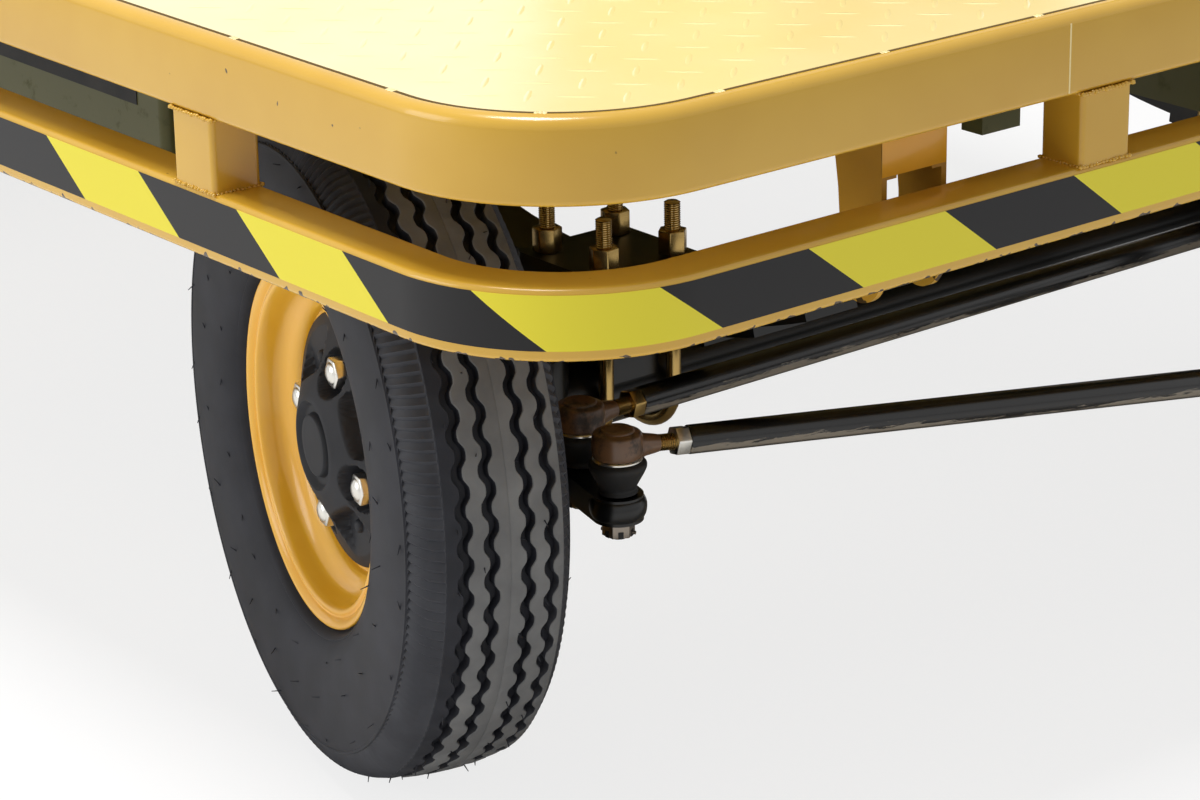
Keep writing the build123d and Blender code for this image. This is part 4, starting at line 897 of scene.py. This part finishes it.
def cover_shape():
    """Moulded cover about Z."""
    outline = [(98, 14), (98, 17.4), (97.2, 18.6), (95.5, 19.4), (92, 20.6)]
    outline += [(92 - 1.12 * i, 20.6 + 0.508 * i) for i in range(1, 49)]
    outline += [(36.6, 45.6)]
    outline += [(radius, COVER_TOP) for radius in (34.6, 32.6, 30.6)]
    outline += [(30.6 - 0.9 * i, COVER_TOP) for i in range(1, 10)]
    outline += [(radius, COVER_TOP) for radius in (18, 12, 6, 0)]
    shape = revolved(outline, 216)
    for vert in shape.verts:
        x, y, z = vert.co
        radius = math.hypot(x, y)
        if radius > COVER_EDGE:
            continue
        # A groove 5 mm deep round the middle cap
        z -= 5 * eased((34.5 - radius) / 5) * eased((radius - 23) / 2.4)
        for turn in NUT_TURNS:
            nut = math.hypot(x - NUT_CIRCLE * math.cos(turn), y - NUT_CIRCLE * math.sin(turn))
            z += (POCKET_FLOOR - z) * eased((POCKET_RADIUS - nut) / WALL_RUN)
            # Distance out of the square notch after this nut, which is open at the rim
            between = turn + math.pi / 4
            out = x * math.cos(between) + y * math.sin(between) - NOTCH_CIRCLE
            over = y * math.cos(between) - x * math.sin(between)
            square = math.hypot(max(-5 - out, 0), max(abs(over) - NOTCH_HALF_WIDTH, 0))
            z += (min(z, NOTCH_FLOOR) - z) * eased((9 - square) / WALL_RUN)
        vert.co.z = z
    return shape


def on_circle(radius, turn, height):
    """Place on a circle about Z."""
    return moved(radius * math.cos(turn), radius * math.sin(turn), height)


plain_cover = cover_shape()
nut_hex = hexagon(22, 17, 1.2)
nut_dome = revolved([(0, 20.5), (4.5, 20), (7.8, 18.4), (10, 15.4), (10, 5), (0, 5)], 24)
washer = revolved([(7, 0), (15.5, 0), (15.5, 2), (14.5, 3), (7, 3), (7, 0)], 32)
button = revolved([(0, 4.2), (3, 3.9), (5, 2.6), (5.6, 0), (0, 0)], 20)
drum_side = [(18.2, -38), (86, -38), (90, -34), (90, 8), (30, 8), (30, 2), (18.2, 2), (18.2, -38)]
drum = revolved(drum_side, 96)

for wheel, centre, outboard in WHEELS:
    place = wheel_place(centre, outboard)
    body = f"wheel_{wheel}"
    tyre = plain_tyre.copy()
    tyre.transform(place)
    stamp(tyre, whiskers, place)
    finish_piece(
        tyre,
        f"treaded_tyre_{wheel}",
        [tyre_rubber, tread_rubber, shoulder_rubber_painted_highlight],
        body,
        (f"tyre_{wheel}",),
        sharp=38,
    )
    rim = bmesh.new()
    stamp(rim, plain_rim, place)
    finish_piece(
        rim, f"rolled_rim_{wheel}", [orange_enamel], body, (f"rim_{wheel}",)
    )
    hub = bmesh.new()
    stamp(hub, plain_cover, place)
    stamp(hub, drum, place)
    for turn in NUT_TURNS:
        for piece in (washer, nut_hex, nut_dome):
            stamp(hub, piece, place @ on_circle(NUT_CIRCLE, turn, NUT_SEAT), 1)
        stamp(hub, button, place @ on_circle(NOTCH_CIRCLE, turn + math.pi / 4, 22))
    finish_piece(
        hub,
        f"hub_cover_{wheel}",
        [black_plastic, zinc],
        body,
        (f"hub_{wheel}",),
        sharp=50,
    )

# U-bolts round the axles, with threads and tall nuts above the clamp plates
BOLT_RADIUS = 6
BOLT_REACH = 34.8
BOLT_PITCH_Y = 68
NUT_BASE = 367.8
STUD_TOP = 410
STUD_LENGTH = 23
u_bolt = bmesh.new()
bolt_section = bmesh.ops.create_circle(
    u_bolt, segments=16, radius=BOLT_RADIUS, matrix=moved(-BOLT_REACH, 0, 0)
)["verts"]
bmesh.ops.spin(
    u_bolt,
    geom=bolt_section + ring_edges(bolt_section),
    cent=(0, 0, 0),
    axis=(0, 1, 0),
    angle=-math.pi,
    steps=20,
)
leg_length = STUD_TOP - 2 - AXLE_Z
for dx in (-BOLT_REACH, BOLT_REACH):
    bmesh.ops.create_cone(
        u_bolt,
        cap_ends=True,
        segments=16,
        radius1=BOLT_RADIUS,
        radius2=BOLT_RADIUS,
        depth=leg_length,
        matrix=moved(dx, 0, leg_length / 2),
    )
stud = thread(6.5, STUD_LENGTH, 1.75)
tall_nut = hexagon(20.5, 19.4, 0.8)
bolts = bmesh.new()
for axle_x in (AXLE_X, -AXLE_X):
    for side in (1, -1):
        for dy in (-BOLT_PITCH_Y / 2, BOLT_PITCH_Y / 2):
            y = side * BEAM_Y + dy
            stamp(bolts, u_bolt, moved(axle_x, y, AXLE_Z))
            for dx in (-BOLT_REACH, BOLT_REACH):
                stamp(bolts, tall_nut, at((axle_x + dx, y, NUT_BASE), turn=rough.uniform(0, 1)))
                stamp(bolts, stud, at((axle_x + dx, y, STUD_TOP - STUD_LENGTH)))
finish_piece(bolts, "spring_u_bolts", [yellow_zinc], "chassis", ("u_bolts",))

# Spring hangers: plain webs across their fronts
HANGER_REACH = 335.6
WEB_THICKNESS, WEB_WIDTH, WEB_HEIGHT = 1.4, 62, 42
webs = bmesh.new()
for axle_x in (AXLE_X, -AXLE_X):
    for side in (1, -1):
        place = moved(axle_x + HANGER_REACH, side * BEAM_Y, RAIL_BASE - WEB_HEIGHT / 2)
        stamp(webs, CUBE, place @ sized(WEB_THICKNESS, WEB_WIDTH, WEB_HEIGHT))
round_edges(webs, 0.5)
finish_piece(webs, "spring_hanger_webs", [orange_enamel], "chassis")

# Tie rod and drag link with their ball joints, each joint drawn about its ball
ROD_START = 57
ROD_RADIUS = 11
ROD_CHAMFER = 1
LOCK_NUT_AT = 45.5
SHANK_AT = 4
housing_side = [(0, 15), (11, 15), (12.6, 14.2), (13.2, 12.6), (17, 12.2)]
housing_side += [(19, 9.8), (19, -4.5), (17.6, -7), (0, -7.4)]
housing = revolved(soften(housing_side, 1), 40)
boot_side = [(9, -9), (18, -8.8), (21.6, -11), (22, -14), (20.4, -18)]
boot_side += [(15.4, -27), (13.4, -31), (14.6, -33), (15.2, -35), (9, -35.3)]
boot = revolved(soften(boot_side, 2), 40)
seal_side = [(9, -7), (17.8, -7), (18.6, -7.8), (18.6, -8.8), (17.8, -9.4), (9, -9.4), (9, -7)]
seal_ring = revolved(seal_side, 40)
lock_nut = hexagon(20, 11, 0.9)
shank = thread(6.4, 60, 1.75, 24)
neck_side = [(0, 0), (10.5, 0), (10.5, 17), (8.6, 22), (7.4, 29), (6.6, 33), (0, 33)]
neck = revolved(neck_side, 28)

# Rod, its two balls, its enamel and which finish its lock nuts have
RODS = (
    ("tie_rod", TIE_BALLS, tie_rod_enamel, 3),
    ("drag_link", DRAG_BALLS, drag_link_enamel, 4),
)
for rod, (start, end), rod_enamel, nut_finish in RODS:
    shape = bmesh.new()
    heading = (end - start).normalized()
    length = (end - start).length - 2 * ROD_START
    tip = ROD_RADIUS - ROD_CHAMFER
    rod_side = [(0, 0), (tip, 0), (ROD_RADIUS, 1.5 * ROD_CHAMFER)]
    rod_side += [(ROD_RADIUS, length - 1.5 * ROD_CHAMFER), (tip, length), (0, length)]
    stamp(shape, revolved(rod_side, 32), at(start + heading * ROD_START, heading), 0)
    for ball, inward in ((start, heading), (end, -heading)):
        stamp(shape, housing, Matrix.Translation(ball), 1)
        stamp(shape, boot, Matrix.Translation(ball), 2)
        stamp(shape, neck, at(ball, inward), 1)
        stamp(shape, shank, at(ball + inward * SHANK_AT, inward), 3)
        stamp(shape, seal_ring, Matrix.Translation(ball), 4)
        stamp(shape, lock_nut, at(ball + inward * LOCK_NUT_AT, inward, 0.3), nut_finish)
    finishes = [rod_enamel, forged_steel, boot_rubber, yellow_zinc, zinc]
    finish_piece(shape, f"jointed_{rod}", finishes, rod, (rod,))

# Rounded arm eyes, with castle nuts and split pins under the ball studs
NUT_DROP = 68.2
STUD_DROP = 68
PIN_DROP = 65.6
NUT_TURN = math.pi / 6
eye_side = [(9, -35.8), (16.5, -35.8), (19.6, -38), (21.4, -42), (21.6, -47)]
eye_side += [(20.4, -52), (17, -55.6), (12, -56.6), (9, -56.6)]
arm_eye = revolved(soften(eye_side, 1), 40)
castle_nut = hexagon(21.7, 12.4, 0.7)
nut_slot = moved(0, 0, 2.6) @ sized(22.1, 4, 5.4)
stud_end = thread(6.8, 3, 1.5)
split_pin = revolved([(0, -13.5), (1.4, -13.5), (1.4, 13.5), (0, 13.5)], 10)
pin_way = (math.cos(NUT_TURN), math.sin(NUT_TURN), 0)
for body, balls in (
    ("knuckle_right", (TIE_BALLS[0], DRAG_BALLS[0])),
    ("knuckle_left", (TIE_BALLS[1],)),
    ("steering", (DRAG_BALLS[1],)),
):
    shape = bmesh.new()
    for ball in balls:
        nut_base = Matrix.Translation(ball - UP * NUT_DROP)
        stamp(shape, arm_eye, Matrix.Translation(ball), 1)
        stamp(shape, castle_nut, nut_base @ spun(NUT_TURN))
        for step in range(3):
            stamp(shape, CUBE, nut_base @ spun(step * math.pi / 3 + NUT_TURN) @ nut_slot, 2)
        stamp(shape, stud_end, at(ball - UP * STUD_DROP, -UP))
        stamp(shape, split_pin, at(ball - UP * PIN_DROP, pin_way))
    finishes = [bare_steel, black_enamel, boot_rubber]
    finish_piece(shape, f"castle_nuts_{body}", finishes, body)

# Battery box: a thin black strip along each side, which stops short of the box's ends
STRIP_X, STRIP_Y, STRIP_Z = 140.5, 530, 450
STRIP_LENGTH, STRIP_THICKNESS, STRIP_HEIGHT = 599, 1.6, 47
strips = bmesh.new()
for side in (1, -1):
    place = moved(STRIP_X, side * STRIP_Y, STRIP_Z)
    stamp(strips, CUBE, place @ sized(STRIP_LENGTH, STRIP_THICKNESS, STRIP_HEIGHT))
finish_piece(strips, "battery_box_strips", [boot_rubber], "chassis")

# Handlebar: ribs round the grips, a blank panel, a key switch and screws on the control head
GRIP_BACK, GRIP_SIDE, GRIP_Z = 190, 350, 1413
GRIP_RUN_FORWARD, GRIP_RUN_INWARD = 100, 90
RIB_COUNT, RIB_PITCH, RIB_LEAD = 13, 7.5, 6
HEAD_TOP = 1438
HEAD_MIDDLE = 8
SCREW_X, SCREW_Y = 43, 73
column = Vector((COLUMN_X, DRIVER_Y, 0))
rib = revolved([(16.4, -1.8), (18, -0.9), (18, 0.9), (16.4, 1.8), (16.4, -1.8)], 28)
ribs = bmesh.new()
for side in (1, -1):
    grip_end = column - STEERED_FORWARD * GRIP_BACK
    grip_end += STEERED_LEFT * side * GRIP_SIDE + UP * GRIP_Z
    inward = STEERED_FORWARD * GRIP_RUN_FORWARD - STEERED_LEFT * side * GRIP_RUN_INWARD
    inward.normalize()
    for step in range(RIB_COUNT):
        stamp(ribs, rib, at(grip_end + inward * (RIB_PITCH * step - RIB_LEAD), inward))
finish_piece(ribs, "grip_ribs", [grip_rubber], "steering")
facing = Matrix.Translation(column + UP * HEAD_TOP) @ spun(STEER)
trim = bmesh.new()
panel = unit_cube()
round_edges(panel, 0.1)
stamp(trim, panel, facing @ moved(HEAD_MIDDLE, 28, 0) @ sized(52, 78, 3))
key_side = [(0, 0), (11, 0), (11, 3), (9, 4.4), (6.4, 4.4), (6.4, 2.6), (0, 2.6)]
stamp(trim, revolved(key_side, 32), facing @ moved(HEAD_MIDDLE, -48, 0), 1)
screw = revolved([(0, 1.8), (2, 1.6), (3.6, 0.6), (3.8, -0.4)], 16)
for dx in (-SCREW_X, SCREW_X):
    for dy in (-SCREW_Y, SCREW_Y):
        stamp(trim, screw, facing @ moved(dx, dy, 0), 1)
finish_piece(trim, "control_head_trim", [panel_gloss, zinc], "steering")

# Seat: pads blown up from the CAD solids by a cloth simulation, sizes in metres
PAD_MESH = 0.006
PAD_PRESSURE = 4
PAD_FRAMES = 20


def blown_pad(node, name, cap):
    """Crowned pad made from a seat's CAD solid, blown outwards by no more than a cap."""
    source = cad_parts[node]
    shape = bmesh.new()
    shape.from_mesh(source.data)
    bmesh.ops.remove_doubles(shape, verts=shape.verts, dist=0.00001)
    low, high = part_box(node)
    middle = (Vector(low) + Vector(high)) / 2
    shrink = [1 - 2 * cap / (b - a) for a, b in zip(low, high)]
    bmesh.ops.scale(shape, vec=shrink, verts=shape.verts, space=Matrix.Translation(-middle))
    mesh = bpy.data.meshes.new(name)
    shape.to_mesh(mesh)
    shape.free()
    pad = bpy.data.objects.new(name, mesh)
    scene.collection.objects.link(pad)
    voxels = pad.modifiers.new("voxels", "REMESH")
    voxels.mode = "VOXEL"
    voxels.voxel_size = PAD_MESH
    start = baked(pad)
    pad.modifiers.clear()
    pad.data = start
    rest = [v.co.copy() for v in start.vertices]
    cloth = pad.modifiers.new("cloth", "CLOTH")
    cloth.settings.use_pressure = True
    cloth.settings.uniform_pressure_force = PAD_PRESSURE
    cloth.settings.effector_weights.gravity = 0
    for step in range(1, PAD_FRAMES + 1):
        scene.frame_set(step)
    blown = baked(pad)
    pad.modifiers.clear()
    scene.frame_set(1)
    pad.data = blown
    for vert, home in zip(blown.vertices, rest):
        shift = vert.co - home
        if shift.length > cap:
            vert.co = home + shift * (cap / shift.length)
        vert.co = [min(max(c, a), b) for c, a, b in zip(vert.co, low, high)]
    pad.data.shade_smooth()
    # Takes the small steps of the voxels out of the vinyl
    smooth = pad.modifiers.new("smooth", "SMOOTH")
    smooth.factor = 0.5
    smooth.iterations = 8
    pad.data.materials.append(black_vinyl)
    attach(pad, "chassis")
    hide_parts(node)


blown_pad("seat_cushion", "seat_cushion_pad", 0.012)
blown_pad("seat_back", "seat_back_pad", 0.010)

# Nodes that keep their CAD shape and get a finish
NODE_FINISHES = (
    (yellow_enamel, ("bumper_posts", "main_beams", "cross_members", "seat_base")),
    (hanger_enamel, ("spring_hangers",)),
    (deck_enamel_painted_highlight, ("floor_plate", "load_plate")),
    (black_enamel, ("leaf_springs", "shackles", "spring_clamps", "front_axle", "rear_axle")),
    (black_enamel, ("knuckle_right", "knuckle_left", "steering_column", "handlebar")),
    (black_enamel, ("seat_straps", "brake_pedal")),
    (primer, ("battery_box", "column_bracket")),
    (motor_paint, ("drive_motor",)),
    (bare_steel, ("kingpins",)),
    (grip_rubber, ("grips",)),
    (black_plastic, ("control_head",)),
)
for material, names in NODE_FINISHES:
    for name in names:
        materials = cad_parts[name].data.materials
        materials.clear()
        materials.append(material)

# Floor, light and camera, in metres
FLOOR_HALF = 40
FLOOR_WHITE_SHARE = 0.8
WORLD_LIGHT = 0.34
WHITE = (1, 1, 1, 1)
ground = bmesh.new()
bmesh.ops.create_grid(ground, x_segments=1, y_segments=1, size=FLOOR_HALF)
floor_mesh = bpy.data.meshes.new("floor")
ground.to_mesh(floor_mesh)
ground.free()
floor = bpy.data.objects.new("floor", floor_mesh)
scene.collection.objects.link(floor)
# White paper that takes the shadow: mostly lit by itself for the camera, so that it stays pale
floor_paper, paper, sheen = new_finish(
    "white_studio_paper", "FFFFFF", 0.9, Specular_IOR_Level=0.0
)
seen = add_node(paper, "LightPath", {}).outputs["Is Camera Ray"]
share = reckon(paper, "MULTIPLY", seen, FLOOR_WHITE_SHARE)
white = add_node(paper, "Emission", {"Color": WHITE, "Strength": 1.0}).outputs[0]
mixed = add_node(paper, "MixShader", {0: share, 1: sheen.outputs[0], 2: white}).outputs[0]
paper.links.new(mixed, paper.nodes["Material Output"].inputs["Surface"])
floor_mesh.materials.append(floor_paper)

# White to the camera and in reflections, dim as a light
world = bpy.data.worlds.new("studio")
scene.world = world
world.use_nodes = True
sky = world.node_tree
sky.nodes.clear()
rays = add_node(sky, "LightPath", {}).outputs
bright = reckon(sky, "MAXIMUM", rays["Is Camera Ray"], rays["Is Glossy Ray"])
strength = ramp(sky, bright, 0, 1, WORLD_LIGHT, 1.0)
backdrop = add_node(sky, "Background", {"Color": WHITE, "Strength": strength}).outputs[0]
add_node(sky, "OutputWorld", {"Surface": backdrop})


def softbox(name, spot, target, size, power):
    """Square lamp that faces a target."""
    lamp = bpy.data.lights.new(name, "AREA")
    lamp.size = size
    lamp.energy = power
    holder = bpy.data.objects.new(name, lamp)
    scene.collection.objects.link(holder)
    holder.location = spot
    facing = (Vector(target) - Vector(spot)).to_track_quat("-Z", "Y")
    holder.rotation_euler = facing.to_euler()


softbox("top_softbox", (0.6, -1.2, 5.5), (0.5, -0.2, 0.5), size=1.8, power=245)
softbox("side_softbox", (-1.0, -4.6, 1.9), (0.6, -0.7, 0.4), size=2.4, power=60)

# Camera as in the photo: place, and the directions of its view, its right side and its top
CAMERA_SPOT = (2.9668, -2.0789, 1.2338)
CAMERA_LOOK = Vector((-0.73145, 0.58916, -0.34333))
CAMERA_RIGHT = Vector((0.63173, 0.77503, -0.01590))
CAMERA_UP = Vector((-0.25672, 0.22852, 0.93909))
camera = bpy.data.cameras.new("camera")
camera.sensor_width = 36
camera.lens = 110.05
eye = bpy.data.objects.new("camera", camera)
scene.collection.objects.link(eye)
view = Matrix([[CAMERA_RIGHT[i], CAMERA_UP[i], -CAMERA_LOOK[i]] for i in range(3)])
eye.matrix_world = Matrix.Translation(CAMERA_SPOT) @ view.to_4x4()
scene.camera = eye
scene.view_settings.view_transform = "Standard"
